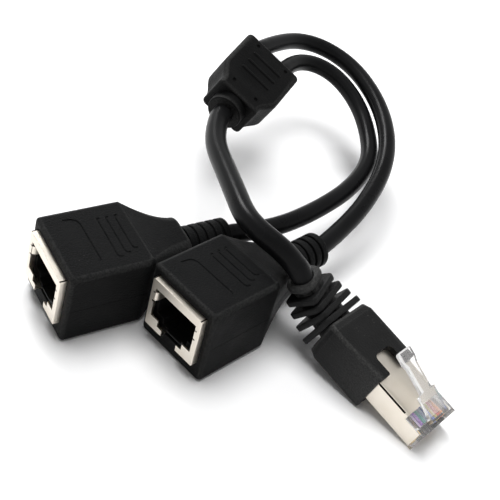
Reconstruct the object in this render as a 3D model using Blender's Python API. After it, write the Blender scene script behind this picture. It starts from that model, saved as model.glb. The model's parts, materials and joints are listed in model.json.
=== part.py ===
"""Network splitter lead: one shielded plug, a trunk cable, a junction block, and two branch
cables that end in two shielded sockets.

Sizes are in millimetres and are scaled by MM where a mesh is made. The origin is the middle of
the near socket's flat base, +Z is up, and the near socket faces -Y.
"""
import math

import bmesh
import bpy
from mathutils import Matrix, Vector

MM = 0.001
GAP = 0.3

# Sheet metal shell of a socket
SHELL_W = 16.0
SHELL_H = 13.8
SHELL_WALL = 0.4
SHELL_PROUD = 1.5
SHELL_DEPTH = 12.0
SHELL_CORNER = 0.7
SHELL_MIDDLE_Z = 11.4
WINDOW_W = 13.2
WINDOW_TOP = 2.3
WINDOW_H = 8.1
STEP_W = 8.2
STEP_H = 1.7
SLOT_W = 5.0
TAB_Z = 4.9
TAB_H = 2.6
TAB_REACH = 1.0
TAB_LENGTH = 4.2
TAB_WALL = 0.3

# Moulded socket housing, from its face to the end of its strain relief
HOUSING_W = 20.0
HOUSING_H = 20.4
HOUSING_L = 19.6
HOUSING_EDGE = 0.9
HOUSING_CORNER = 1.2
FLARE_L = 12.2
FLARE_POWER = 1.55
NECK_W = 12.0
NECK_H = 11.2
NECK_CORNER = 3.0
NECK_ROUND = 1.2
RELIEF_L = 12.0
RELIEF_R = 4.4
RELIEF_FLAT = 0.15
RELIEF_RINGS = 5
RELIEF_GROOVE_W = 0.7
RELIEF_GROOVE_D = 0.55
RELIEF_END_ROUND = 0.5
GROOVE_R = 0.3
GROOVE_DEPTH = 0.25

# Plastic insert and its spring contacts
INSERT_SETBACK = 1.3
INSERT_END_WALL = 1.0
CAVITY_W = 12.6
CAVITY_TOP = 2.4
CAVITY_H = 7.9
CAVITY_STEP_W = 7.8
CAVITY_STEP_H = 1.7
CAVITY_SLOT_W = 4.6
CAVITY_SLOT_H = 0.8
CONTACTS = 8
CONTACT_PITCH = 1.02
SPRING_R = 0.2
SPRING_DROP = 2.7
SPRING_FRONT = 1.2
SPRING_TIP = 6.8

# Plug: boot, shell, clear body, latch, blades and conductors
BOOT_W = 13.5
BOOT_H = 12.0
BOOT_L = 16.5
BOOT_CORNER = 1.0
BOOT_EDGE = 0.5
BOOT_TAPER_L = 2.2
BOOT_TAPER = 0.6
BOOT_POCKET = 8.0
NOTCH_W = 6.2
NOTCH_L = 5.2
FINS = 5
FIN_LEAD = 0.7
FIN_PITCH = 2.7
FIN_T = 1.2
FIN_FIRST_W = 13.0
FIN_FIRST_H = 11.6
FIN_LAST_W = 9.0
FIN_LAST_H = 7.6
FIN_CORNER = 1.9
CORE_FIRST_W = 8.6
CORE_LAST_W = 6.6
BOOT_BEND_R = 15.2
BOOT_BEND_TOWARDS = 28.0
PLUG_W = 11.7
PLUG_H = 6.8
PLUG_L = 14.8
PLUG_RAISE = 1.0
PLUG_TAIL = 7.0
PLUG_CORNER = 0.35
PLUG_SHELL_WALL = 0.35
PLUG_SHELL_TAIL = 6.5
PLUG_FLANGE = 0.9
PLUG_SHOULDER = 1.4
RECESS_OVERRUN = 1.0
RECESS_OVERLAP = 0.6
TOP_PLATE_END = 5.5
SIDE_PLATE_END = 1.0
BOTTOM_PLATE_END = 7.4
WIRE_R = 0.37
WIRE_Z = 1.3
WIRE_END = 2.2
WIRE_TAIL = 6.0
WIRE_MIDDLE = 4.0
CHANNEL_CLEAR = 0.3
BLADE_T = 0.3
BLADE_L = 5.2
BLADE_H = 2.6
BLADE_SLOT_W = 0.62
BLADE_SETBACK = 0.5
LATCH_PIVOT_BACK = 1.6
LATCH_PIVOT_R = 0.7
LATCH_ROOT_W = 5.9
LATCH_LEVER_W = 3.3
LATCH_TIP_W = 5.3
LATCH_T = 1.0
LATCH_SHOULDER = 5.6
LATCH_LENGTH = 14.2
LATCH_RISE = 5.2
LATCH_TIP_L = 2.6

# Junction block
BLOCK_W = 18.4
BLOCK_END_W = 13.0
BLOCK_H = 10.9
BLOCK_L = 21.4
BLOCK_CORNER = 1.4
BLOCK_NECK = 1.6
BLOCK_SHOULDER = 6.5
BLOCK_EDGE = 0.5
BOSS_R = 4.8
BOSS_L = 3.0
BRANCH_SPREAD = 8.8
COLLAR_R = 3.3
COLLAR_L = 0.8
DIMPLE_R = 0.8
DIMPLE_DEPTH = 0.5
DIMPLE_X = 5.0
DIMPLE_END_X = 3.8
DIMPLE_Y = 8.6
DIMPLE_END_Y = -7.3
RIDGE_W = 1.3
RIDGE_L = 10.0
RIDGE_PROUD = 0.25
RIDGE_PITCH = 3.4
RIDGE_FIRST_Y = -1.2
RIDGES = 3

# Cables
TRUNK_D = 5.4
BRANCH_D = 4.7
CABLE_SIDES = 3
CABLE_STEP = 2.0
LEAD = 2.4

# Where the pieces lie
LEFT_AT = (-25.5, -26.6)
LEFT_TURN = -12.3
LEFT_LEAN = 4.5
PLUG_AT = (36.3, 22.25)
PLUG_TURN = -87.05
BLOCK_AT = (-48.2, 53.2, 24.4)
BLOCK_TURN = 20.1
BLOCK_RISE = 8.0
BLOCK_LEAN = 25.0
TRUNK_ROUTE = (
    (5.9, 15.3, 23.1), (-0.1, 12.7, 25.4), (-6.6, 13.2, 25.4), (-14.0, 17.2, 24.8),
    (-25.1, 23.7, 23.5), (-34.9, 29.9, 22.2),
)
NEAR_ROUTE = (
    (-58.6, 76.4, 26.6), (-58.7, 84.0, 25.2), (-55.6, 90.4, 23.8), (-49.2, 93.4, 22.7),
    (-41.4, 93.2, 21.9), (-28.4, 88.4, 20.3), (-16.6, 79.5, 18.4), (-9.3, 69.7, 16.2),
    (-3.5, 55.4, 13.7), (-1.2, 44.7, 12.1),
)
LEFT_ROUTE = (
    (-52.0, 77.0, 23.6), (-50.8, 82.6, 22.6), (-47.4, 86.4, 21.3), (-41.6, 87.6, 19.8),
    (-32.3, 85.6, 17.5), (-21.1, 78.3, 15.1), (-15.9, 72.4, 14.1), (-11.6, 60.8, 13.0),
    (-10.0, 47.1, 12.5), (-10.2, 35.7, 12.2), (-11.4, 28.4, 12.1),
)

BLACK = (0.012, 0.012, 0.013)
METAL = (0.62, 0.58, 0.50)
GOLD = (0.80, 0.58, 0.22)
CLEAR = (0.80, 0.80, 0.78)
WIRE_COLOURS = (
    (0.75, 0.30, 0.08), (0.70, 0.22, 0.20), (0.75, 0.60, 0.15), (0.10, 0.16, 0.45),
    (0.30, 0.32, 0.40), (0.05, 0.45, 0.38), (0.28, 0.12, 0.50), (0.45, 0.35, 0.60),
)


def clear_scene():
    """Starts from an empty scene with two collections."""
    for old in list(bpy.data.objects):
        bpy.data.objects.remove(old, do_unlink=True)
    made = []
    for name in ("splitter_lead", "cutters"):
        collection = bpy.data.collections.new(name)
        bpy.context.scene.collection.children.link(collection)
        made.append(collection)
    return made


PARTS, CUTTERS = clear_scene()


def finish_of(name, colour, roughness, metallic=0.0, alpha=1.0):
    """A Principled material of one colour."""
    made = bpy.data.materials.new(name)
    made.use_nodes = True
    shader = made.node_tree.nodes["Principled BSDF"]
    shader.inputs["Base Color"].default_value = (*colour, 1.0)
    shader.inputs["Roughness"].default_value = roughness
    shader.inputs["Metallic"].default_value = metallic
    shader.inputs["Alpha"].default_value = alpha
    return made


BLACK_PVC = finish_of("black_pvc", BLACK, 0.45)
CABLE_PVC = finish_of("cable_pvc", BLACK, 0.35)
INSERT_BLACK = finish_of("insert_black", BLACK, 0.5)
NICKEL = finish_of("nickel_sheet", METAL, 0.25, 1.0)
GOLD_PLATE = finish_of("gold_plate", GOLD, 0.25, 1.0)
CLEAR_PC = finish_of("clear_polycarbonate", CLEAR, 0.08, 0.0, 0.4)


def empty_frame(name, place, turn, lean=0.0, rise=0.0):
    """An empty that carries one assembly: turned about Z, then raised about X and leant about Y."""
    frame = bpy.data.objects.new(name, None)
    PARTS.objects.link(frame)
    spin = Matrix.Rotation(math.radians(turn), 4, "Z")
    tip = Matrix.Rotation(math.radians(rise), 4, "X") @ Matrix.Rotation(math.radians(lean), 4, "Y")
    frame.location = Vector(place) * MM
    frame.rotation_euler = (spin @ tip).to_euler()
    bpy.context.view_layer.update()
    return frame


def mesh_object(name, bm, frame=None, finish=None, at=(0.0, 0.0, 0.0)):
    """Puts a bmesh, whose points are in millimetres, into an object at a place in its frame."""
    bmesh.ops.recalc_face_normals(bm, faces=bm.faces)
    bmesh.ops.scale(bm, vec=(MM, MM, MM), verts=bm.verts)
    mesh = bpy.data.meshes.new(name)
    bm.to_mesh(mesh)
    bm.free()
    made = bpy.data.objects.new(name, mesh)
    if finish is None:
        CUTTERS.objects.link(made)
        made.hide_render = True
        made.display_type = "WIRE"
    else:
        PARTS.objects.link(made)
        mesh.materials.append(finish)
        mesh.shade_smooth()
        mesh.set_sharp_from_angle(angle=math.radians(35.0))
    made.parent = frame
    made.location = Vector(at) * MM
    return made


def combine(target, tool, operation):
    """A Boolean modifier that stays on the target."""
    modifier = target.modifiers.new(operation.lower(), "BOOLEAN")
    modifier.operation = operation
    modifier.object = tool
    modifier.solver = "EXACT"


def block_of(low, high, round_edge=0.0):
    """A bmesh box between two corners, with its edges rounded if asked."""
    bm = bmesh.new()
    low, high = Vector(low), Vector(high)
    bmesh.ops.create_cube(bm, size=1.0)
    bmesh.ops.scale(bm, vec=high - low, verts=bm.verts)
    bmesh.ops.translate(bm, vec=(low + high) / 2, verts=bm.verts)
    if round_edge:
        bmesh.ops.bevel(bm, geom=bm.edges, offset=round_edge, segments=2, profile=0.5,
                        affect="EDGES")
    return bm


def prism_of(outline, start, end):
    """A bmesh prism of an (x, z) outline between two depths along y."""
    bm = bmesh.new()
    face = bm.faces.new([bm.verts.new((x, start, z)) for x, z in outline])
    grown = bmesh.ops.extrude_face_region(bm, geom=[face])
    moved = [v for v in grown["geom"] if isinstance(v, bmesh.types.BMVert)]
    bmesh.ops.translate(bm, vec=(0.0, end - start, 0.0), verts=moved)
    return bm


def ring_of(place, half_w, half_h, corner, arc=4):
    """A rounded rectangle across the local Y axis of the matrix place."""
    corner = min(corner, half_w - 0.01, half_h - 0.01)
    points = []
    for quarter, (sx, sz) in enumerate(((1, 1), (-1, 1), (-1, -1), (1, -1))):
        for step in range(arc + 1):
            angle = math.radians(90.0 * quarter + 90.0 * step / arc)
            x = sx * (half_w - corner) + corner * math.cos(angle)
            z = sz * (half_h - corner) + corner * math.sin(angle)
            points.append(place @ Vector((x, 0.0, z)))
    return points


def loft_of(rings):
    """A bmesh skinned over rings that have the same number of points, closed at both ends."""
    bm = bmesh.new()
    rows = [[bm.verts.new(point) for point in ring] for ring in rings]
    count = len(rows[0])
    for first, second in zip(rows, rows[1:]):
        for i in range(count):
            j = (i + 1) % count
            bm.faces.new((first[i], first[j], second[j], second[i]))
    bm.faces.new(rows[0])
    bm.faces.new(list(reversed(rows[-1])))
    return bm


def at_depth(y, z=0.0, x=0.0):
    return Matrix.Translation((x, y, z))


def rod_of(length, radius, sides, axis="X"):
    """A bmesh cylinder, centred, along one axis."""
    bm = bmesh.new()
    turn = {"X": Matrix.Rotation(math.pi / 2, 4, "Y"), "Y": Matrix.Rotation(math.pi / 2, 4, "X"),
            "Z": Matrix.Identity(4)}[axis]
    bmesh.ops.create_cone(bm, cap_ends=True, segments=sides, radius1=radius, radius2=radius,
                          depth=length, matrix=turn)
    return bm


def smooth_route(points, spacing):
    """Points about one spacing apart on a smooth curve through the route's own points.

    The first and last stretches, between the first two and the last two points, stay straight.
    """
    route = [Vector(point) for point in points]
    dense = []
    for before, start, end, after in zip(route, route[1:], route[2:], route[3:]):
        k1 = math.sqrt((start - before).length)
        k2 = math.sqrt((end - start).length)
        k3 = math.sqrt((after - end).length)
        leave = (start - before) / k1 - (end - before) / (k1 + k2) + (end - start) / k2
        reach = (end - start) / k2 - (after - start) / (k2 + k3) + (after - end) / k3
        for step in range(20):
            t = step / 20
            dense.append(
                (2 * t**3 - 3 * t**2 + 1) * start + (t**3 - 2 * t**2 + t) * k2 * leave
                + (3 * t**2 - 2 * t**3) * end + (t**3 - t**2) * k2 * reach
            )
    dense.append(route[-2])
    travel = [0.0]
    for first, second in zip(dense, dense[1:]):
        travel.append(travel[-1] + (second - first).length)
    count = round(travel[-1] / spacing)
    even, place = [route[0]], 0
    for i in range(count + 1):
        want = travel[-1] * i / count
        while place < len(dense) - 2 and travel[place + 1] < want:
            place += 1
        share = (want - travel[place]) / (travel[place + 1] - travel[place])
        even.append(dense[place].lerp(dense[place + 1], min(1.0, share)))
    return [*even, route[-1]]


def tube(name, points, radius, finish, frame=None, sides=CABLE_SIDES):
    """A round wire or cable: a poly spline with a bevel and filled ends."""
    curve = bpy.data.curves.new(name, "CURVE")
    curve.dimensions = "3D"
    curve.bevel_depth = radius * MM
    curve.bevel_resolution = sides
    curve.use_fill_caps = True
    spline = curve.splines.new("POLY")
    spline.points.add(len(points) - 1)
    for point, place in zip(spline.points, points):
        point.co = (*(Vector(place) * MM), 1.0)
    curve.materials.append(finish)
    made = bpy.data.objects.new(name, curve)
    PARTS.objects.link(made)
    made.parent = frame
    return made


def tube_mesh(name, points, radius, frame, sides=1):
    """A tube turned into a welded mesh, for use as a cutter or a union."""
    curve = tube(name + "_path", points, radius, BLACK_PVC, frame, sides)
    bpy.context.view_layer.update()
    graph = bpy.context.evaluated_depsgraph_get()
    mesh = bpy.data.meshes.new_from_object(curve.evaluated_get(graph))
    bm = bmesh.new()
    bm.from_mesh(mesh)
    bmesh.ops.remove_doubles(bm, verts=bm.verts, dist=0.001 * MM)
    bm.to_mesh(mesh)
    bm.free()
    made = bpy.data.objects.new(name, mesh)
    CUTTERS.objects.link(made)
    made.hide_render = True
    made.display_type = "WIRE"
    made.parent = frame
    bpy.data.objects.remove(curve, do_unlink=True)
    return made


def socket_window():
    """The (x, z) outline of the opening in the metal face: window, step and open slot below."""
    top = SHELL_MIDDLE_Z + SHELL_H / 2 - WINDOW_TOP
    sill = top - WINDOW_H
    step = sill - STEP_H
    below = SHELL_MIDDLE_Z - SHELL_H / 2 - 1.0
    right = [(WINDOW_W / 2, top), (WINDOW_W / 2, sill), (STEP_W / 2, sill), (STEP_W / 2, step),
             (SLOT_W / 2, step), (SLOT_W / 2, below)]
    return right + [(-x, z) for x, z in reversed(right)]


def cavity_outline():
    """The (x, z) outline of the insert's cavity, with its two narrower steps for a latch."""
    top = SHELL_MIDDLE_Z + SHELL_H / 2 - CAVITY_TOP
    sill = top - CAVITY_H
    step = sill - CAVITY_STEP_H
    floor = step - CAVITY_SLOT_H
    right = [(CAVITY_W / 2, top), (CAVITY_W / 2, sill), (CAVITY_STEP_W / 2, sill),
             (CAVITY_STEP_W / 2, step), (CAVITY_SLOT_W / 2, step), (CAVITY_SLOT_W / 2, floor)]
    return right + [(-x, z) for x, z in reversed(right)]


def housing_rings():
    """Sections of the socket's overmould: box, hollow flare, neck and ringed strain relief."""
    rings = []
    for step in range(3):
        angle = math.radians(45.0 * step)
        inset = HOUSING_EDGE * (1 - math.sin(angle))
        depth = HOUSING_EDGE * (1 - math.cos(angle))
        rings.append(ring_of(at_depth(depth, HOUSING_H / 2), HOUSING_W / 2 - inset,
                             HOUSING_H / 2 - inset, max(0.4, HOUSING_CORNER - inset)))
    for step in range(9):
        share = step / 8
        drawn = 1 - (1 - share) ** FLARE_POWER
        rings.append(ring_of(
            at_depth(HOUSING_L + FLARE_L * share,
                     HOUSING_H / 2 + (SHELL_MIDDLE_Z - HOUSING_H / 2) * drawn),
            HOUSING_W / 2 + (NECK_W - HOUSING_W) / 2 * drawn,
            HOUSING_H / 2 + (NECK_H - HOUSING_H) / 2 * drawn,
            HOUSING_CORNER + (NECK_CORNER - HOUSING_CORNER) * drawn))
    neck_end = HOUSING_L + FLARE_L
    for step in (1, 2):
        angle = math.radians(45.0 * step)
        inset = NECK_ROUND * (1 - math.cos(angle))
        rings.append(ring_of(at_depth(neck_end + NECK_ROUND * math.sin(angle), SHELL_MIDDLE_Z),
                             NECK_W / 2 - inset, NECK_H / 2 - inset, NECK_CORNER))
    start = neck_end + NECK_ROUND
    pitch = RELIEF_L / RELIEF_RINGS
    half, corner = RELIEF_R, RELIEF_R - RELIEF_FLAT
    low, low_corner = half - RELIEF_GROOVE_D, corner - RELIEF_GROOVE_D
    for i in range(RELIEF_RINGS):
        y = start + pitch * i
        rings.append(ring_of(at_depth(y, SHELL_MIDDLE_Z), low, low, low_corner))
        rings.append(ring_of(at_depth(y + RELIEF_GROOVE_W, SHELL_MIDDLE_Z), low, low, low_corner))
        rings.append(ring_of(at_depth(y + RELIEF_GROOVE_W * 1.3, SHELL_MIDDLE_Z), half, half,
                             corner))
        last = i == RELIEF_RINGS - 1
        end = y + pitch - (RELIEF_END_ROUND if last else 0.2)
        rings.append(ring_of(at_depth(end, SHELL_MIDDLE_Z), half, half, corner))
    rings.append(ring_of(at_depth(start + RELIEF_L, SHELL_MIDDLE_Z), half - RELIEF_END_ROUND,
                         half - RELIEF_END_ROUND, corner - RELIEF_END_ROUND))
    return rings


def top_lines():
    """Paths, in (x, y), of the plain lines engraved on the top of a housing."""
    bend = ((-6.0, 5.2), (-6.6, 6.6), (-6.2, 7.8), (-5.0, 8.2))
    lines = [bend + ((0.0, 8.2), (6.9, 8.2), (7.2, 7.0))]
    for y, reach in ((12.2, 6.2), (14.4, 5.0), (16.6, 3.8)):
        lines.append(((-6.0, y), (0.0, y), (reach, y), (reach + 0.7, y - 0.5),
                      (reach + 1.0, y - 1.2)))
    return lines


def make_socket(prefix, frame):
    """One socket: overmoulded housing, folded metal shell, plastic insert and spring contacts."""
    housing = mesh_object(prefix + "_housing", loft_of(housing_rings()), frame, BLACK_PVC)
    low_z = SHELL_MIDDLE_Z - SHELL_H / 2
    high_z = SHELL_MIDDLE_Z + SHELL_H / 2
    pocket = block_of((-SHELL_W / 2 - GAP, -1.0, low_z - GAP),
                      (SHELL_W / 2 + GAP, SHELL_DEPTH + GAP, high_z + GAP))
    combine(housing, mesh_object(prefix + "_pocket", pocket, frame), "DIFFERENCE")
    for i, line in enumerate(top_lines()):
        height = HOUSING_H + GROOVE_R - GROOVE_DEPTH
        path = [(x, y, height) for x, y in line]
        groove = tube_mesh("%s_groove_%d" % (prefix, i + 1), path, GROOVE_R, frame)
        combine(housing, groove, "DIFFERENCE")

    front = -SHELL_PROUD
    shell = mesh_object(prefix + "_shield", loft_of([
        ring_of(at_depth(front, SHELL_MIDDLE_Z), SHELL_W / 2 - 0.25, SHELL_H / 2 - 0.25,
                SHELL_CORNER, 2),
        ring_of(at_depth(front + 0.25, SHELL_MIDDLE_Z), SHELL_W / 2, SHELL_H / 2,
                SHELL_CORNER, 2),
        ring_of(at_depth(SHELL_DEPTH, SHELL_MIDDLE_Z), SHELL_W / 2, SHELL_H / 2,
                SHELL_CORNER, 2),
    ]), frame, NICKEL)
    inner_w, inner_h = SHELL_W / 2 - SHELL_WALL, SHELL_H / 2 - SHELL_WALL
    hollow = loft_of([
        ring_of(at_depth(front + SHELL_WALL, SHELL_MIDDLE_Z), inner_w, inner_h, 0.4, 2),
        ring_of(at_depth(SHELL_DEPTH + 1.0, SHELL_MIDDLE_Z), inner_w, inner_h, 0.4, 2),
    ])
    combine(shell, mesh_object(prefix + "_shell_hollow", hollow, frame), "DIFFERENCE")
    window = prism_of(socket_window(), front - 1.0, front + SHELL_WALL + 0.7)
    combine(shell, mesh_object(prefix + "_window", window, frame), "DIFFERENCE")
    for side in (-1, 1):
        jamb = WINDOW_W / 2 + 0.5
        inside = WINDOW_W / 2 - TAB_REACH
        outline = [(jamb, front + 0.1), (jamb, front + SHELL_WALL - 0.1),
                   (inside + TAB_WALL, front + TAB_REACH + 1.0),
                   (inside + TAB_WALL, front + TAB_LENGTH), (inside, front + TAB_LENGTH),
                   (inside, front + TAB_REACH + 0.7),
                   (WINDOW_W / 2 - 0.1, front + 0.1)]
        bm = bmesh.new()
        top = high_z - TAB_Z + TAB_H / 2
        face = bm.faces.new([bm.verts.new((side * x, y, top)) for x, y in outline])
        grown = bmesh.ops.extrude_face_region(bm, geom=[face])
        moved = [v for v in grown["geom"] if isinstance(v, bmesh.types.BMVert)]
        bmesh.ops.translate(bm, vec=(0.0, 0.0, -TAB_H), verts=moved)
        name = "%s_tab_%s" % (prefix, "right" if side > 0 else "left")
        combine(shell, mesh_object(name, bm, frame), "UNION")

    start = front + INSERT_SETBACK + SHELL_WALL
    end = SHELL_DEPTH - 0.2
    insert = mesh_object(prefix + "_insert", block_of(
        (-inner_w + GAP, start, SHELL_MIDDLE_Z - inner_h + GAP),
        (inner_w - GAP, end, SHELL_MIDDLE_Z + inner_h - GAP), 0.3), frame, INSERT_BLACK)
    cavity = prism_of(cavity_outline(), front, end - INSERT_END_WALL)
    combine(insert, mesh_object(prefix + "_cavity", cavity, frame), "DIFFERENCE")

    ceiling = high_z - CAVITY_TOP - GAP - SPRING_R
    back = end - INSERT_END_WALL - GAP
    for i in range(CONTACTS):
        x = (i - (CONTACTS - 1) / 2) * CONTACT_PITCH
        path = [(x, back, ceiling), (x, SPRING_FRONT + 1.0, ceiling),
                (x, SPRING_FRONT + 0.25, ceiling - 0.15), (x, SPRING_FRONT, ceiling - 0.6),
                (x, SPRING_FRONT + 0.3, ceiling - 1.05),
                (x, SPRING_TIP, ceiling - SPRING_DROP)]
        tube("%s_contact_%d" % (prefix, i + 1), path, SPRING_R, GOLD_PLATE, frame, 1)


def relief_point(travel):
    """The frame of the boot's bent strain relief, at a distance behind the boot's block."""
    angle = travel / BOOT_BEND_R
    towards = math.radians(BOOT_BEND_TOWARDS)
    side = Vector((math.sin(towards), 0.0, math.cos(towards)))
    place = (Vector((0.0, -BOOT_L, 0.0)) + Vector((0.0, -1.0, 0.0)) * BOOT_BEND_R * math.sin(angle)
             + side * BOOT_BEND_R * (1 - math.cos(angle)))
    hinge = side.cross(Vector((0.0, 1.0, 0.0))).normalized()
    return Matrix.Translation(place) @ Matrix.Rotation(angle, 4, hinge)


def relief_length():
    return FIN_LEAD + FIN_PITCH * (FINS - 1) + FIN_T


def boot_rings():
    """Sections of the boot, from the end of its bent relief to its face."""
    rings = []
    for i in reversed(range(FINS)):
        share = i / (FINS - 1)
        half_w = (FIN_FIRST_W + (FIN_LAST_W - FIN_FIRST_W) * share) / 2
        half_h = (FIN_FIRST_H + (FIN_LAST_H - FIN_FIRST_H) * share) / 2
        core = (CORE_FIRST_W + (CORE_LAST_W - CORE_FIRST_W) * share) / 2
        near = FIN_LEAD + FIN_PITCH * i
        for travel, w, h in ((near + FIN_T, half_w - 0.3, half_h - 0.3),
                             (near + FIN_T - 0.3, half_w, half_h),
                             (near + 0.3, half_w, half_h), (near, half_w - 0.3, half_h - 0.3),
                             (near - 0.05, core, core),
                             (near - (FIN_PITCH - FIN_T if i else FIN_LEAD) + 0.05, core, core)):
            corner = FIN_CORNER if w > core else core - 0.3
            rings.append(ring_of(relief_point(travel), w, h, corner, 3))
    for y, inset, corner in ((-BOOT_L, BOOT_TAPER, 1.6),
                             (-BOOT_L + BOOT_TAPER_L, 0.0, BOOT_CORNER),
                             (-BOOT_EDGE, 0.0, BOOT_CORNER), (0.0, BOOT_EDGE, 0.6)):
        rings.append(ring_of(at_depth(y), BOOT_W / 2 - inset, BOOT_H / 2 - inset, corner, 3))
    return rings


def latch_outline():
    """Rings of the latch lever behind its pivot: (back, up, half width, half thickness)."""
    rows = []
    for back, half_w in ((0.0, LATCH_ROOT_W / 2), (LATCH_SHOULDER - 0.8, LATCH_ROOT_W / 2),
                         (LATCH_SHOULDER, LATCH_ROOT_W / 2), (LATCH_SHOULDER + 0.1, LATCH_LEVER_W / 2),
                         (LATCH_LENGTH - LATCH_TIP_L - 1.0, LATCH_LEVER_W / 2),
                         (LATCH_LENGTH - LATCH_TIP_L, LATCH_TIP_W / 2),
                         (LATCH_LENGTH, LATCH_TIP_W / 2)):
        share = back / LATCH_LENGTH
        up = LATCH_RISE * share ** 0.9
        rows.append((back, up, half_w, LATCH_T / 2 * (1.15 - 0.3 * share)))
    return rows


def make_plug(frame):
    """The plug: boot, metal shell, clear body, latch, blades and conductors."""
    boot = mesh_object("plug_boot", loft_of(boot_rings()), frame, BLACK_PVC)
    half_w = PLUG_W / 2
    low = PLUG_RAISE - PLUG_H / 2
    high = PLUG_RAISE + PLUG_H / 2
    pocket = block_of((-half_w - GAP, -BOOT_POCKET, low - GAP), (half_w + GAP, 1.0, high + GAP))
    combine(boot, mesh_object("boot_pocket", pocket, frame), "DIFFERENCE")
    notch = block_of((-NOTCH_W / 2, -NOTCH_L, high), (NOTCH_W / 2, 1.0, BOOT_H))
    combine(boot, mesh_object("boot_notch", notch, frame), "DIFFERENCE")

    wall = PLUG_SHELL_WALL
    shell = mesh_object("plug_shield", loft_of([
        ring_of(at_depth(-PLUG_SHELL_TAIL, PLUG_RAISE), half_w, PLUG_H / 2, PLUG_CORNER, 2),
        ring_of(at_depth(PLUG_L - SIDE_PLATE_END, PLUG_RAISE), half_w, PLUG_H / 2,
                PLUG_CORNER, 2),
    ]), frame, NICKEL)
    hollow = block_of((-half_w + wall, -PLUG_SHELL_TAIL - 1.0, low + wall),
                      (half_w - wall, PLUG_L + 1.0, high - wall))
    combine(shell, mesh_object("plug_hollow", hollow, frame), "DIFFERENCE")
    top_cut = block_of((-half_w - 1.0, PLUG_L - TOP_PLATE_END, high - PLUG_SHOULDER),
                       (half_w + 1.0, PLUG_L + 1.0, high + 1.0))
    combine(shell, mesh_object("plug_top_cut", top_cut, frame), "DIFFERENCE")
    bottom_cut = block_of((-half_w + PLUG_FLANGE, PLUG_L - BOTTOM_PLATE_END, low - 1.0),
                          (half_w - PLUG_FLANGE, PLUG_L + 1.0, low + 1.0))
    combine(shell, mesh_object("plug_bottom_cut", bottom_cut, frame), "DIFFERENCE")

    inset = wall + GAP
    body = mesh_object("plug_body", block_of((-half_w, -PLUG_TAIL, low), (half_w, PLUG_L, high),
                                             PLUG_CORNER), frame, CLEAR_PC)
    far = half_w + RECESS_OVERRUN
    back, under, over = -PLUG_TAIL - RECESS_OVERRUN, low - RECESS_OVERRUN, high + RECESS_OVERRUN
    side_end = PLUG_L - SIDE_PLATE_END + GAP
    top_end = PLUG_L - TOP_PLATE_END + GAP
    shoulder = high - PLUG_SHOULDER
    recesses = {
        "left": ((-far, back, under), (-half_w + inset, side_end, shoulder + GAP)),
        "right": ((half_w - inset, back, under), (far, side_end, shoulder + GAP)),
        "left_top": ((-far, back, shoulder - RECESS_OVERLAP), (-half_w + inset, top_end, over)),
        "right_top": ((half_w - inset, back, shoulder - RECESS_OVERLAP), (far, top_end, over)),
        "top": ((-far, back, high - inset), (far, top_end, over)),
        "left_flange": ((-far, back, under),
                        (-half_w + PLUG_FLANGE + GAP, side_end, low + inset)),
        "right_flange": ((half_w - PLUG_FLANGE - GAP, back, under), (far, side_end, low + inset)),
        "bottom": ((-far, back, under), (far, PLUG_L - BOTTOM_PLATE_END + GAP, low + inset)),
    }
    for name, (corner, opposite) in recesses.items():
        cutter = mesh_object("body_recess_" + name, block_of(corner, opposite), frame)
        combine(body, cutter, "DIFFERENCE")
    span = CONTACT_PITCH * (CONTACTS - 1) / 2
    clear = WIRE_R + CHANNEL_CLEAR
    channel = block_of((-span - clear, -PLUG_TAIL - 1.0, WIRE_Z - clear),
                       (span + clear, PLUG_L - WIRE_END + CHANNEL_CLEAR, WIRE_Z + clear))
    combine(body, mesh_object("wire_channel", channel, frame), "DIFFERENCE")
    blade_top = WIRE_Z - clear - GAP - 0.1
    blade_end = PLUG_L - BLADE_SETBACK
    for i in range(CONTACTS):
        x = (i - (CONTACTS - 1) / 2) * CONTACT_PITCH
        slot = block_of((x - BLADE_SLOT_W / 2, blade_end - BLADE_L - GAP, low - 1.0),
                        (x + BLADE_SLOT_W / 2, PLUG_L + 1.0, blade_top + 0.2))
        combine(body, mesh_object("blade_slot_%d" % (i + 1), slot, frame), "DIFFERENCE")
        blade = block_of((x - BLADE_T / 2, blade_end - BLADE_L, blade_top - BLADE_H),
                         (x + BLADE_T / 2, blade_end, blade_top), 0.1)
        mesh_object("plug_blade_%d" % (i + 1), blade, frame, GOLD_PLATE)
        colour = finish_of("conductor_%d" % (i + 1), WIRE_COLOURS[i], 0.4)
        tube("plug_wire_%d" % (i + 1),
             [(x, -WIRE_TAIL, WIRE_Z), (x, WIRE_MIDDLE, WIRE_Z), (x, PLUG_L - WIRE_END, WIRE_Z)],
             WIRE_R, colour, frame, 1)

    pivot = Vector((0.0, PLUG_L - LATCH_PIVOT_BACK, high + GAP + LATCH_PIVOT_R))
    rings = []
    for back, up, half, thick in latch_outline():
        rings.append([Vector((x, -back, up + z)) for x, z in (
            (half, thick), (-half, thick), (-half, -thick), (half, -thick))])
    latch = mesh_object("plug_latch", loft_of(rings), frame, CLEAR_PC, pivot)
    root = mesh_object("latch_root", rod_of(LATCH_ROOT_W, LATCH_PIVOT_R, 16), frame, None, pivot)
    combine(latch, root, "UNION")


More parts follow.
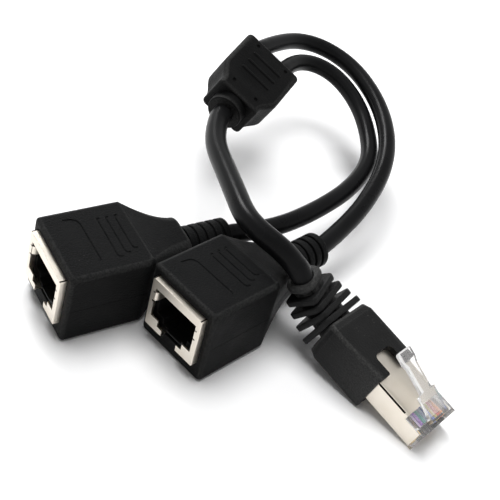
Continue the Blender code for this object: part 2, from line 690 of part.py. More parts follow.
def make_block(frame):
    """The junction block, with a round boss for the trunk and two collars for the branches."""
    half_l = BLOCK_L / 2
    rows = [(-half_l - BOSS_L, BOSS_R - 0.3, BOSS_R - 0.3, BOSS_R - 0.45),
            (-half_l - BOSS_L + 0.3, BOSS_R, BOSS_R, BOSS_R - 0.15),
            (-half_l - 0.02, BOSS_R, BOSS_R, BOSS_R - 0.15),
            (-half_l, BLOCK_END_W / 2 - BLOCK_EDGE, BLOCK_H / 2 - BLOCK_EDGE, BLOCK_CORNER - 0.4),
            (-half_l + BLOCK_EDGE, BLOCK_END_W / 2, BLOCK_H / 2, BLOCK_CORNER)]
    for step in range(5):
        share = step / 4
        eased = share * share * (3 - 2 * share)
        rows.append((-half_l + BLOCK_NECK + BLOCK_SHOULDER * share,
                     (BLOCK_END_W + (BLOCK_W - BLOCK_END_W) * eased) / 2, BLOCK_H / 2,
                     BLOCK_CORNER))
    rows += [(half_l - BLOCK_EDGE, BLOCK_W / 2, BLOCK_H / 2, BLOCK_CORNER),
             (half_l - BLOCK_EDGE / 3, BLOCK_W / 2 - BLOCK_EDGE / 3,
              BLOCK_H / 2 - BLOCK_EDGE / 3, BLOCK_CORNER),
             (half_l, BLOCK_W / 2 - BLOCK_EDGE, BLOCK_H / 2 - BLOCK_EDGE, BLOCK_CORNER - 0.5)]
    rings = [ring_of(at_depth(y), w, h, corner, 4) for y, w, h, corner in rows]
    block = mesh_object("junction_block", loft_of(rings), frame, BLACK_PVC)
    for side in (-1, 1):
        name = "collar_left" if side < 0 else "collar_right"
        at = (side * BRANCH_SPREAD / 2, half_l + COLLAR_L / 2 - 0.5, 0.0)
        collar = mesh_object(name, rod_of(COLLAR_L + 1.0, COLLAR_R, 20, "Y"), frame, None, at)
        combine(block, collar, "UNION")
    for i in range(RIDGES):
        y = RIDGE_FIRST_Y + RIDGE_PITCH * i
        ridge = block_of((-RIDGE_L / 2, y - RIDGE_W / 2, BLOCK_H / 2 - 1.0),
                         (RIDGE_L / 2, y + RIDGE_W / 2, BLOCK_H / 2 + RIDGE_PROUD), 0.2)
        combine(block, mesh_object("ridge_%d" % (i + 1), ridge, frame), "UNION")
    for x, y in ((DIMPLE_X, DIMPLE_Y), (DIMPLE_END_X, DIMPLE_END_Y)):
        for side in (-1, 1):
            bm = bmesh.new()
            bmesh.ops.create_uvsphere(bm, u_segments=10, v_segments=8, radius=DIMPLE_R)
            at = (side * x, y, BLOCK_H / 2 + DIMPLE_R - DIMPLE_DEPTH)
            name = "dimple_%d_%d" % (side + 2, 1 if y > 0 else 2)
            combine(block, mesh_object(name, bm, frame, None, at), "DIFFERENCE")


def place_in(frame, point):
    """A point or a direction's tip of a frame, in world millimetres."""
    return frame.matrix_world @ (Vector(point) * MM) / MM


def leads(frame, point, direction):
    """The first two points of a cable that leaves a face of a frame straight out."""
    towards = Vector(direction).normalized()
    return [place_in(frame, Vector(point) + towards * distance) for distance in (GAP, LEAD)]


def cable_routes(near, left, plug, block):
    """The three routes from face to face, each with its name and diameter."""
    relief_end = HOUSING_L + FLARE_L + NECK_ROUND + RELIEF_L
    tail = relief_point(relief_length())
    back = tail.to_3x3() @ Vector((0.0, -1.0, 0.0))
    block_back = (0.0, -BLOCK_L / 2 - BOSS_L, 0.0)
    trunk = leads(plug, tail.translation, back) + [Vector(p) for p in TRUNK_ROUTE]
    trunk += reversed(leads(block, block_back, (0.0, -1.0, 0.0)))
    routes = [("trunk_cable", trunk, TRUNK_D)]
    for name, side, route, frame in (("near_branch_cable", -1, NEAR_ROUTE, near),
                                     ("left_branch_cable", 1, LEFT_ROUTE, left)):
        exit_at = (side * BRANCH_SPREAD / 2, BLOCK_L / 2 + COLLAR_L, 0.0)
        points = leads(block, exit_at, (0.0, 1.0, 0.0)) + [Vector(p) for p in route]
        points += reversed(leads(frame, (0.0, relief_end, SHELL_MIDDLE_Z), (0.0, 1.0, 0.0)))
        routes.append((name, points, BRANCH_D))
    return routes


def build():
    base_middle = (HOUSING_L + HOUSING_EDGE) / 2
    near = empty_frame("near_frame", (0.0, -base_middle, 0.0), 0.0)
    lean = math.radians(LEFT_LEAN)
    lift = ((HOUSING_W / 2 - HOUSING_CORNER) * math.sin(lean)
            + HOUSING_CORNER * (1 - math.cos(lean)))
    left = empty_frame("left_frame", (*LEFT_AT, lift), LEFT_TURN, LEFT_LEAN)
    drop = BOOT_H / 2 - (PLUG_H / 2 - PLUG_RAISE)
    tip = math.atan2(drop, PLUG_L)
    plug = empty_frame("plug_frame", (*PLUG_AT, BOOT_H / 2 * math.cos(tip)), PLUG_TURN, 0.0,
                       -math.degrees(tip))
    block = empty_frame("block_frame", BLOCK_AT, BLOCK_TURN, BLOCK_LEAN, BLOCK_RISE)
    make_socket("near", near)
    make_socket("left", left)
    make_plug(plug)
    make_block(block)
    for name, points, diameter in cable_routes(near, left, plug, block):
        tube(name, smooth_route(points, CABLE_STEP * diameter), diameter / 2, CABLE_PVC)


build()
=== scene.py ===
# %% [markdown]
# # A network splitter lead
#
# One shielded plug, a trunk cable, a junction block and two branch cables that end in two
# shielded sockets. Everything black is soft vinyl moulded over the parts, or drawn as a cable
# jacket. The sockets and the plug carry folded nickel-plated sheet, and the plug's nose and its
# latch are clear polycarbonate, so the coloured conductors show inside it.
#
# The scene dresses a fixed model: every piece made here sits exactly where the model's own part
# sits. The first cell loads that model.

# %% Load the fixed model
import json
import math

import bmesh
import bpy
from mathutils import Matrix, Vector

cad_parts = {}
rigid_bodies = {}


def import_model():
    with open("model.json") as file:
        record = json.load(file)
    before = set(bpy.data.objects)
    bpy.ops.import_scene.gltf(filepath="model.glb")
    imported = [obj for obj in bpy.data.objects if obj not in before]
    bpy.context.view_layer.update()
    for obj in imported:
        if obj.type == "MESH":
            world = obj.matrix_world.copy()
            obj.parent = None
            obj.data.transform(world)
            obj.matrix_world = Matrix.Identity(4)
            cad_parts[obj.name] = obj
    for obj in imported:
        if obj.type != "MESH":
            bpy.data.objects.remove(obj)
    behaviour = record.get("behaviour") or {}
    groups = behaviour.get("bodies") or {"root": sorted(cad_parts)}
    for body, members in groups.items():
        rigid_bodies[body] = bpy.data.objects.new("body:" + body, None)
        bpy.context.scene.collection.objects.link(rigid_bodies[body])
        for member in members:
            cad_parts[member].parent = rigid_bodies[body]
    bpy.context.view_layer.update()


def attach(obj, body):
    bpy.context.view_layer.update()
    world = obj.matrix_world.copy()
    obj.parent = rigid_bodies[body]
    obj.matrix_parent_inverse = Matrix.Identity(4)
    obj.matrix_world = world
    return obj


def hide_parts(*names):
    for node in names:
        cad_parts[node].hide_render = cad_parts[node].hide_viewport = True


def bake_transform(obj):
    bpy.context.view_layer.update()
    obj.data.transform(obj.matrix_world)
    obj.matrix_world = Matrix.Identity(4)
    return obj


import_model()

MM = 0.001

# %% [markdown]
# ## Where each assembly lies
#
# The two sockets, the plug and the junction block are rigid, and each has its own frame: a place,
# a turn about the upright axis, and a tilt. With these four matrices a piece can be drawn in its
# own plain coordinates, in millimetres, and set down where the model has it. The left socket
# leans over a little, so it is lifted until its lower edge touches the table. The plug tips
# forward until its nose rests there.

# %% Frames of the four rigid assemblies
HOUSING_W, HOUSING_H, HOUSING_L, HOUSING_EDGE, HOUSING_CORNER = 20.0, 20.4, 19.6, 0.9, 1.2
BOOT_H, BOOT_L = 12.0, 16.5
PLUG_W, PLUG_H, PLUG_L, PLUG_RAISE = 11.7, 6.8, 14.8, 1.0
LEFT_AT, LEFT_TURN, LEFT_LEAN = (-25.5, -26.6), -12.3, 4.5
PLUG_AT, PLUG_TURN = (36.3, 22.25), -87.05
BLOCK_AT, BLOCK_TURN, BLOCK_LEAN, BLOCK_RISE = (-48.2, 53.2, 24.4), 20.1, 25.0, 8.0


def standing(place, turn, lean=0.0, rise=0.0):
    """A frame turned about Z, then raised about its X and leant about its Y, in degrees."""
    spin = Matrix.Rotation(math.radians(turn), 4, "Z")
    tilt = (Matrix.Rotation(math.radians(rise), 4, "X")
            @ Matrix.Rotation(math.radians(lean), 4, "Y"))
    return Matrix.Translation(Vector(place)) @ spin @ tilt


left_lean = math.radians(LEFT_LEAN)
left_lift = ((HOUSING_W / 2 - HOUSING_CORNER) * math.sin(left_lean)
             + HOUSING_CORNER * (1 - math.cos(left_lean)))
plug_tip = math.atan2(BOOT_H / 2 - (PLUG_H / 2 - PLUG_RAISE), PLUG_L)
NEAR = standing((0.0, -(HOUSING_L + HOUSING_EDGE) / 2, 0.0), 0.0)
LEFT = standing((*LEFT_AT, left_lift), LEFT_TURN, LEFT_LEAN)
PLUG = standing((*PLUG_AT, BOOT_H / 2 * math.cos(plug_tip)), PLUG_TURN, 0.0,
                -math.degrees(plug_tip))
BLOCK = standing(BLOCK_AT, BLOCK_TURN, BLOCK_LEAN, BLOCK_RISE)
for label, place in (("near", NEAR), ("left", LEFT), ("plug", PLUG), ("block", BLOCK)):
    print(label, [round(c, 2) for c in place.translation])

# %% [markdown]
# ## The camera
#
# The photograph looks down at about forty degrees, from in front and to the right of the near
# socket, with the camera rolled sixteen degrees. A 72 mm lens on a 36 mm wide sensor gives the
# flat perspective of a product photograph. The camera's matrix is written from its own three
# axes: right, up, and back towards the viewer.

# %% Camera
CAMERA_AT = Vector((98.8, -129.45, 165.7)) * MM
AZIMUTH, ELEVATION, ROLL = (math.radians(a) for a in (35.62, 40.01, 16.33))

forward = Vector((-math.sin(AZIMUTH) * math.cos(ELEVATION),
                  math.cos(AZIMUTH) * math.cos(ELEVATION), -math.sin(ELEVATION)))
level_right = Vector((math.cos(AZIMUTH), math.sin(AZIMUTH), 0.0))
level_up = level_right.cross(forward)
right = math.cos(ROLL) * level_right + math.sin(ROLL) * level_up
up = math.cos(ROLL) * level_up - math.sin(ROLL) * level_right
lens = bpy.data.cameras.new("product_camera")
lens.lens, lens.sensor_width = 72.0, 36.0
lens.clip_start, lens.clip_end = 0.01, 20.0
camera = bpy.data.objects.new("product_camera", lens)
bpy.context.scene.collection.objects.link(camera)
camera.matrix_world = Matrix.Translation(CAMERA_AT) @ Matrix(
    (right, up, -forward)).transposed().to_4x4()
bpy.context.scene.camera = camera
print("camera looks along", [round(c, 3) for c in forward])

# %% [markdown]
# ## Making plain meshes
#
# Nearly every moulding here is a loft: rounded rectangles set one behind the other and skinned.
# Holes are cut with exact Booleans, and sharp corners are softened with a Bevel modifier. Each
# piece is then turned into a plain mesh whose object stays at the origin, so that a pattern that
# reads object coordinates stays put when a joint moves.

# %% Helpers: rings, lofts, boxes
def ring_of(place, half_w, half_h, corner, arc=8, flats=1):
    """A rounded rectangle across the local Y axis of a matrix, in millimetres.

    Each corner is an arc of short steps, and each flat side is divided into equal lengths.
    """
    corner = min(corner, half_w - 0.01, half_h - 0.01)
    points = []
    for quarter, (sx, sz) in enumerate(((1, 1), (-1, 1), (-1, -1), (1, -1))):
        for step in range(arc + 1):
            angle = math.radians(90.0 * quarter + 90.0 * step / arc)
            x = sx * (half_w - corner) + corner * math.cos(angle)
            z = sz * (half_h - corner) + corner * math.sin(angle)
            points.append(Vector((x, 0.0, z)))
    if flats > 1:
        divided = []
        for i, point in enumerate(points):
            divided.append(point)
            if i % (arc + 1) == arc:
                ahead = points[(i + 1) % len(points)]
                divided += [point.lerp(ahead, k / flats) for k in range(1, flats)]
        points = divided
    return [place @ point for point in points]


def loft_of(rings):
    """A closed bmesh skinned over rings with the same number of points."""
    bm = bmesh.new()
    rows = [[bm.verts.new(point) for point in ring] for ring in rings]
    count = len(rows[0])
    for first, second in zip(rows, rows[1:]):
        for i in range(count):
            j = (i + 1) % count
            bm.faces.new((first[i], first[j], second[j], second[i]))
    bm.faces.new(rows[0])
    bm.faces.new(list(reversed(rows[-1])))
    return bm


def box_of(low, high):
    """A bmesh box between two corners."""
    low, high = Vector(low), Vector(high)
    bm = bmesh.new()
    bmesh.ops.create_cube(bm, size=1.0)
    bmesh.ops.scale(bm, vec=high - low, verts=bm.verts)
    bmesh.ops.translate(bm, vec=(low + high) / 2, verts=bm.verts)
    return bm


def prism_of(outline, start, end, axis="Y"):
    """A bmesh prism of a flat outline between two values along Y or Z."""
    bm = bmesh.new()
    if axis == "Y":
        face = bm.faces.new([bm.verts.new((a, start, b)) for a, b in outline])
        move = (0.0, end - start, 0.0)
    else:
        face = bm.faces.new([bm.verts.new((a, b, start)) for a, b in outline])
        move = (0.0, 0.0, end - start)
    grown = bmesh.ops.extrude_face_region(bm, geom=[face])
    moved = [v for v in grown["geom"] if isinstance(v, bmesh.types.BMVert)]
    bmesh.ops.translate(bm, vec=move, verts=moved)
    return bm


def along(y, z=0.0, x=0.0):
    return Matrix.Translation((x, y, z))


print("helpers ready: rings of", len(ring_of(along(0.0), 5.0, 5.0, 1.0)), "points")

# %% [markdown]
# ### From a drawn shape to a finished piece
#
# A shape drawn in millimetres is set down at its place in metres, with the place inside the mesh
# and not on the object. Booleans and bevels are modifiers, so they run first and are then fixed
# into the mesh. Two things follow: a value on each point that says how rounded it is, which the
# finishes use to paint a paler highlight on rounded edges, and weighted normals, which keep large
# flats looking flat beside a soft edge.

# %% Helpers: set down, smooth, measure the edges
ROUND_TURN, SHARP_TURN, BEVEL_FROM = math.radians(11.0), math.radians(32.0), math.radians(40.0)


def set_down(name, bm, place, finish):
    """An object at the origin from a bmesh in millimetres, with its place in its mesh."""
    bmesh.ops.recalc_face_normals(bm, faces=bm.faces)
    bmesh.ops.transform(bm, matrix=Matrix.Scale(MM, 4) @ place, verts=bm.verts)
    mesh = bpy.data.meshes.new(name)
    bm.to_mesh(mesh)
    bm.free()
    mesh.materials.append(finish)
    made = bpy.data.objects.new(name, mesh)
    bpy.context.scene.collection.objects.link(made)
    return made


def smooth(mesh, angle=35.0):
    mesh.shade_smooth()
    mesh.set_sharp_from_angle(angle=math.radians(angle))


def mark_rounded_edges(mesh):
    """Stores how rounded each point is: one on a rounded outer edge, zero on flats and in cuts."""
    bm = bmesh.new()
    bm.from_mesh(mesh)
    bmesh.ops.remove_doubles(bm, verts=bm.verts, dist=1e-7)
    layer = bm.verts.layers.float.new("rounded_edge")
    for vert in bm.verts:
        turns = [edge.calc_face_angle_signed(0.0) for edge in vert.link_edges if edge.is_manifold]
        outward = max(turns, default=0.0)
        crease = max((abs(turn) for turn in turns), default=0.0)
        vert[layer] = min(1.0, outward / ROUND_TURN) if crease < SHARP_TURN else 0.0
    bm.to_mesh(mesh)
    bm.free()


print("an edge counts as rounded up to", round(math.degrees(SHARP_TURN)), "degrees a step")


# %% Helpers: cut, join, soften and dress
def apply_steps(piece):
    """Turns a piece and its modifiers into one plain mesh."""
    graph = bpy.context.evaluated_depsgraph_get()
    piece.data = bpy.data.meshes.new_from_object(piece.evaluated_get(graph))
    piece.data.name = piece.name
    piece.modifiers.clear()
    return piece


def finish_piece(piece, cuts=(), joins=(), soften=0.0, segments=3, angle=35.0, edge_slot=-1):
    """Cuts and joins other objects, softens sharp edges, and leaves one plain mesh."""
    for tools, operation in ((joins, "UNION"), (cuts, "DIFFERENCE")):
        for tool in tools:
            step = piece.modifiers.new(operation.lower(), "BOOLEAN")
            step.operation, step.object, step.solver = operation, tool, "EXACT"
            step.material_mode = "TRANSFER"
    if soften:
        round_off = piece.modifiers.new("soften", "BEVEL")
        round_off.width, round_off.segments = soften * MM, segments
        round_off.limit_method, round_off.angle_limit = "ANGLE", BEVEL_FROM
        round_off.material = edge_slot
    apply_steps(piece)
    for tool in (*cuts, *joins):
        bpy.data.objects.remove(tool, do_unlink=True)
    mark_rounded_edges(piece.data)
    smooth(piece.data, angle)
    flat = piece.modifiers.new("keep_flats_flat", "WEIGHTED_NORMAL")
    flat.weight, flat.keep_sharp = 100, True
    return apply_steps(piece)


def dress(piece, body, slot, *replaced):
    """Rides a piece on its body and hides the model's parts it stands for. The slot is not used."""
    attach(piece, body)
    if replaced:
        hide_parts(*replaced)
    print(piece.name, "faces:", len(piece.data.polygons), "replaces:", replaced or "nothing")


print("edges that turn more than", round(math.degrees(BEVEL_FROM)), "degrees are softened")

# %% [markdown]
# ## Small effects that several finishes share
#
# A moulded surface is never one flat colour. Four shader groups are built once and reused:
# a fine grain, left by the texture of the mould; a thin scatter of dust; a painted highlight that
# makes rounded edges paler, where they would catch the light; and the faint streaks that rolling
# leaves on sheet. Each puts out plain values, and the shaders themselves stay in each material.
# Noise is enough for all of them, so no picture has to be loaded.

# %% Shader group: fine moulded grain
def value_group(name, inputs, outputs):
    """An empty shader group with named number sockets."""
    group = bpy.data.node_groups.new(name, "ShaderNodeTree")
    for label, value in inputs:
        socket = group.interface.new_socket(label, in_out="INPUT", socket_type="NodeSocketFloat")
        socket.default_value = value
    for label in outputs:
        group.interface.new_socket(label, in_out="OUTPUT", socket_type="NodeSocketFloat")
    return group, group.nodes.new("NodeGroupInput"), group.nodes.new("NodeGroupOutput")


def noise_at(tree, scale, detail=2.0, vector=None):
    noise = tree.nodes.new("ShaderNodeTexNoise")
    noise.inputs["Detail"].default_value = detail
    if isinstance(scale, (int, float)):
        noise.inputs["Scale"].default_value = scale
    else:
        tree.links.new(scale, noise.inputs["Scale"])
    if vector is not None:
        tree.links.new(vector, noise.inputs["Vector"])
    return noise.outputs["Fac"]


def spread(tree, value, low, high, to_low, to_high):
    """Maps a range of values to another, held at its ends."""
    fit = tree.nodes.new("ShaderNodeMapRange")
    fit.clamp = True
    for label, number in (("From Min", low), ("From Max", high), ("To Min", to_low),
                          ("To Max", to_high)):
        fit.inputs[label].default_value = number
    tree.links.new(value, fit.inputs["Value"])
    return fit.outputs["Result"]


def math_of(tree, operation, first, second):
    node = tree.nodes.new("ShaderNodeMath")
    node.operation = operation
    for socket, value in zip(node.inputs, (first, second)):
        if isinstance(value, (int, float)):
            socket.default_value = value
        else:
            tree.links.new(value, socket)
    return node.outputs[0]


GRAIN, entry, leave = value_group(
    "moulded_grain", (("Grain Scale", 5200.0), ("Cloud Scale", 160.0)), ("Height", "Cloud"))
place = GRAIN.nodes.new("ShaderNodeTexCoord").outputs["Object"]
coarse = noise_at(GRAIN, entry.outputs["Grain Scale"], 3.0, place)
cloud = noise_at(GRAIN, entry.outputs["Cloud Scale"], 3.0, place)
GRAIN.links.new(spread(GRAIN, coarse, 0.3, 0.7, 0.0, 1.0), leave.inputs["Height"])
GRAIN.links.new(spread(GRAIN, cloud, 0.3, 0.7, 0.0, 1.0), leave.inputs["Cloud"])
print("group:", GRAIN.name, "nodes:", len(GRAIN.nodes))

# %% Shader group: a thin scatter of dust
DUST, entry, leave = value_group("dust_scatter", (("Speck Scale", 900.0), ("Amount", 0.08)),
                                 ("Mask",))
place = DUST.nodes.new("ShaderNodeTexCoord").outputs["Object"]
cells = DUST.nodes.new("ShaderNodeTexVoronoi")
cells.feature = "F1"
DUST.links.new(place, cells.inputs["Vector"])
DUST.links.new(entry.outputs["Speck Scale"], cells.inputs["Scale"])
speck = spread(DUST, cells.outputs["Distance"], 0.05, 0.14, 1.0, 0.0)
patch = spread(DUST, noise_at(DUST, 130.0, 2.0, place), 0.56, 0.66, 0.0, 1.0)
DUST.links.new(math_of(DUST, "MULTIPLY", math_of(DUST, "MULTIPLY", speck, patch),
                       entry.outputs["Amount"]), leave.inputs["Mask"])
print("group:", DUST.name, "nodes:", len(DUST.nodes))

# %% Shader group: painted highlight on rounded edges
EDGE_HIGHLIGHT, entry, leave = value_group("painted_edge_highlight", (("Grain", 0.5), ("Amount", 0.4)), ("Mask",))
# A mask of rounded edges, broken up by the grain, for a painted highlight.
edge = EDGE_HIGHLIGHT.nodes.new("ShaderNodeAttribute")
edge.attribute_name = "rounded_edge"
rounded = spread(EDGE_HIGHLIGHT, edge.outputs["Fac"], 0.55, 1.0, 0.0, 1.0)
broken = spread(EDGE_HIGHLIGHT, entry.outputs["Grain"], 0.2, 0.8, 0.35, 1.0)
EDGE_HIGHLIGHT.links.new(math_of(EDGE_HIGHLIGHT, "MULTIPLY", math_of(EDGE_HIGHLIGHT, "MULTIPLY", rounded, broken),
                            entry.outputs["Amount"]), leave.inputs["Mask"])
print("group:", EDGE_HIGHLIGHT.name, "nodes:", len(EDGE_HIGHLIGHT.nodes))

# %% Shader group: rolled streaks
STREAK, entry, leave = value_group("rolled_streaks", (("Across", 2400.0), ("Along", 60.0)),
                                   ("Height",))
place = STREAK.nodes.new("ShaderNodeTexCoord").outputs["Object"]
stretch = STREAK.nodes.new("ShaderNodeVectorMath")
stretch.operation = "MULTIPLY"
sizes = STREAK.nodes.new("ShaderNodeCombineXYZ")
for socket, source in zip(sizes.inputs, ("Across", "Along", "Across")):
    STREAK.links.new(entry.outputs[source], socket)
STREAK.links.new(place, stretch.inputs[0])
STREAK.links.new(sizes.outputs[0], stretch.inputs[1])
STREAK.links.new(noise_at(STREAK, 1.0, 2.0, stretch.outputs[0]), leave.inputs["Height"])
print("group:", STREAK.name, "nodes:", len(STREAK.nodes))

# %% [markdown]
# ## The finishes
#
# Black vinyl is dark enough that its gloss decides how it looks, so its specular level is kept
# very low: at a grazing angle even a little gloss turns black to grey. Numbers that are the same
# all over a piece are set on the shader itself, and the groups only vary the colour, roughness
# and bump around them. The sockets, the boot and the block come from different moulds, so each
# has its own tone and grain, made by one function.

# %% Helpers for the finishes
def principled(name, colour, roughness, metallic=0.0, specular=0.5):
    """A material with its Principled shader at plain values."""
    made = bpy.data.materials.new(name)
    made.use_nodes = True
    shader = made.node_tree.nodes["Principled BSDF"]
    shader.inputs["Base Color"].default_value = (*colour, 1.0)
    shader.inputs["Roughness"].default_value = roughness
    shader.inputs["Metallic"].default_value = metallic
    shader.inputs["Specular IOR Level"].default_value = specular
    return made, made.node_tree, shader


def use_group(tree, group, **values):
    node = tree.nodes.new("ShaderNodeGroup")
    node.node_tree = group
    for label, value in values.items():
        node.inputs[label.replace("_", " ")].default_value = value
    return node


def blend_colour(tree, factor, first, second):
    """Mixes two colours by a value that changes over the surface."""
    mix = tree.nodes.new("ShaderNodeMix")
    mix.data_type = "RGBA"
    tree.links.new(factor, mix.inputs["Factor"])
    for label, colour in (("A", first), ("B", second)):
        socket = next(s for s in mix.inputs if s.name == label and s.type == "RGBA")
        if isinstance(colour, tuple):
            socket.default_value = (*colour, 1.0)
        else:
            tree.links.new(colour, socket)
    return next(s for s in mix.outputs if s.type == "RGBA")


def bump(tree, shader, height, distance, strength=1.0):
    """Feeds a height to the shader's normal. The distance is in metres."""
    node = tree.nodes.new("ShaderNodeBump")
    node.inputs["Strength"].default_value = strength
    node.inputs["Distance"].default_value = distance
    tree.links.new(height, node.inputs["Height"])
    tree.links.new(node.outputs["Normal"], shader.inputs["Normal"])


print("four groups and", len(bpy.data.materials), "materials so far")


# %% Black vinyl and insert plastic
# The first grey is a painted highlight for rounded edges; the second is the grey of real dust.
EDGE_HIGHLIGHT_GREY, DUST_GREY = (0.050, 0.050, 0.049), (0.30, 0.29, 0.27)


def vinyl(name, dark, pale, gloss, specular, grain, depth, dust, edge_highlight=0.0):
    """Moulded black plastic: fine grain, drifting tone and gloss, dust, and a painted highlight on
    rounded edges.

    The gloss is the two roughness values between which the surface drifts.
    """
    made, tree, shader = principled(name, dark, gloss[0], specular=specular)
    texture = use_group(tree, GRAIN, Grain_Scale=grain)
    specks = use_group(tree, DUST, Amount=dust)
    tone = blend_colour(tree, texture.outputs["Cloud"], dark, pale)
    if edge_highlight:
        # Painted highlight: rounded edges are mixed towards a paler grey.
        edge_lit = use_group(tree, EDGE_HIGHLIGHT, Amount=edge_highlight)
        tree.links.new(texture.outputs["Height"], edge_lit.inputs["Grain"])
        tone = blend_colour(tree, edge_lit.outputs["Mask"], tone, EDGE_HIGHLIGHT_GREY)
    toned = blend_colour(tree, specks.outputs["Mask"], tone, DUST_GREY)
    tree.links.new(toned, shader.inputs["Base Color"])
    tree.links.new(spread(tree, texture.outputs["Cloud"], 0.0, 1.0, *gloss),
                   shader.inputs["Roughness"])
    bump(tree, shader, texture.outputs["Height"], depth)
    return made


# Each black finish paints its rounded edges paler by its own amount, as a highlight.
MOULDED_VINYL = vinyl("moulded_black_vinyl", dark=(0.0048, 0.0050, 0.0052),
                      pale=(0.0080, 0.0082, 0.0084), gloss=(0.46, 0.60), specular=0.05,
                      grain=2500.0, depth=0.000085, dust=0.14, edge_highlight=0.40)
BOOT_VINYL = vinyl("boot_black_vinyl", dark=(0.0080, 0.0081, 0.0082),
                   pale=(0.0115, 0.0116, 0.0117), gloss=(0.42, 0.54), specular=0.12,
                   grain=2600.0, depth=0.000045, dust=0.20, edge_highlight=0.70)
BLOCK_VINYL = vinyl("block_black_vinyl", dark=(0.0030, 0.0031, 0.0032),
                    pale=(0.0052, 0.0053, 0.0054), gloss=(0.46, 0.56), specular=0.06,
                    grain=2500.0, depth=0.000045, dust=0.08, edge_highlight=0.36)
INSERT_PLASTIC = vinyl("insert_black_plastic", dark=(0.0045, 0.0045, 0.0045),
                       pale=(0.0065, 0.0065, 0.0065), gloss=(0.42, 0.52), specular=0.12,
                       grain=2600.0, depth=0.000010, dust=0.02)
SEAM_SHADOW = vinyl("seam_shadow", dark=(0.010, 0.006, 0.005), pale=(0.016, 0.010, 0.008),
                    gloss=(0.7, 0.8), specular=0.1, grain=3000.0, depth=0.000005, dust=0.0)
print("black finishes:", [m.name for m in (MOULDED_VINYL, BOOT_VINYL, BLOCK_VINYL, INSERT_PLASTIC)])

# %% [markdown]
# ### The cable jacket
#
# A jacket is drawn through a die, not moulded, so it is smoother than the mouldings and its fine
# marks run along the cable. It reads its own map, with the way round in U and the length in V,
# because a pattern on object coordinates would cut across a bend.

# %% Cable jacket
JACKET_DARK, JACKET_PALE = (0.0045, 0.0046, 0.0049), (0.0068, 0.0069, 0.0073)
CABLE_JACKET, tree, shader = principled("cable_jacket_vinyl", JACKET_DARK, 0.25, specular=0.08)
texture = use_group(tree, GRAIN, Grain_Scale=2600.0, Cloud_Scale=90.0)
specks = use_group(tree, DUST, Amount=0.07, Speck_Scale=1100.0)
lay = tree.nodes.new("ShaderNodeUVMap")
lay.uv_map = "around_and_along"
pull = tree.nodes.new("ShaderNodeMapping")
pull.inputs["Scale"].default_value = (60.0, 1.5, 1.0)
tree.links.new(lay.outputs["UV"], pull.inputs["Vector"])
drawn = noise_at(tree, 1.0, 2.0, pull.outputs["Vector"])
tone = blend_colour(tree, texture.outputs["Cloud"], JACKET_DARK, JACKET_PALE)
toned = blend_colour(tree, specks.outputs["Mask"], tone, (0.26, 0.26, 0.25))
tree.links.new(toned, shader.inputs["Base Color"])
tree.links.new(spread(tree, texture.outputs["Cloud"], 0.0, 1.0, 0.25, 0.33),
               shader.inputs["Roughness"])
heights = math_of(tree, "ADD", math_of(tree, "MULTIPLY", drawn, 0.6),
                  math_of(tree, "MULTIPLY", texture.outputs["Height"], 0.4))
bump(tree, shader, heights, 0.000010)
print("jacket finish:", CABLE_JACKET.name, "nodes:", len(tree.nodes))

# %% [markdown]
# ### Plated metal
#
# The shells are steel sheet with nickel on it: a warm pale grey with a soft sheen, because the
# sheet was rolled before it was plated and the plate fills only part of the streaks. The
# contacts are thin hard gold. Both are full metals, so their colour is the colour of what they
# mirror, and one function makes both.

# %% Nickel and gold
def plated(name, colour, warm, gloss, across, lengthwise, depth):
    """Plated metal: a colour that drifts a little, streaks from rolling, faint smudges."""
    made, tree, shader = principled(name, colour, gloss[0], 1.0)
    texture = use_group(tree, GRAIN, Grain_Scale=1800.0, Cloud_Scale=170.0)
    lines = use_group(tree, STREAK, Across=across, Along=lengthwise)
    tree.links.new(blend_colour(tree, texture.outputs["Cloud"], colour, warm),
                   shader.inputs["Base Color"])
    rough = math_of(tree, "ADD", spread(tree, texture.outputs["Cloud"], 0.0, 1.0, *gloss),
                    math_of(tree, "MULTIPLY", lines.outputs["Height"], 0.06))
    tree.links.new(rough, shader.inputs["Roughness"])
    bump(tree, shader, lines.outputs["Height"], depth)
    return made


NICKEL_PLATE = plated("nickel_plate", (0.82, 0.765, 0.68), (0.78, 0.72, 0.625), (0.26, 0.36),
                      across=2600.0, lengthwise=240.0, depth=0.000005)
GOLD_CONTACT = plated("gold_contact", (0.82, 0.60, 0.25), (0.78, 0.55, 0.20), (0.22, 0.30),
                      across=3000.0, lengthwise=300.0, depth=0.000004)
print("metal finishes:", NICKEL_PLATE.name, GOLD_CONTACT.name)

# %% [markdown]
# ### Clear plastic
#
# The nose and the latch are polycarbonate. Light goes through it and bends, so the conductors
# show inside, and its many small faces and flow marks throw some light back as a white haze. A
# transmission a little below one gives that haze. One rim of the latch, its tip and the
# moulding's rounded edges get a second, whiter and less clear finish, a painted highlight where
# they face the light, so there are two clear finishes.

# %% Clear and hazy polycarbonate
def clear(name, colour, transmission):
    """Clear plastic: refraction with a little haze, and a surface that isn't quite flat."""
    made, tree, shader = principled(name, colour, 0.06)
    shader.inputs["Transmission Weight"].default_value = transmission
    shader.inputs["IOR"].default_value = 1.45
    texture = use_group(tree, GRAIN, Grain_Scale=900.0, Cloud_Scale=220.0)
    tree.links.new(spread(tree, texture.outputs["Cloud"], 0.0, 1.0, 0.04, 0.10),
                   shader.inputs["Roughness"])
    bump(tree, shader, texture.outputs["Cloud"], 0.00002)
    return made


CLEAR_PLASTIC = clear("clear_polycarbonate", (0.985, 0.975, 0.97), 0.88)
# The hazy copy is whiter and less clear: a painted highlight for rims and rounded edges.
HAZY_HIGHLIGHT_PLASTIC = clear("hazy_highlight_polycarbonate", (1.0, 0.995, 0.99), 0.34)
print("clear finishes:", CLEAR_PLASTIC.name, HAZY_HIGHLIGHT_PLASTIC.name)

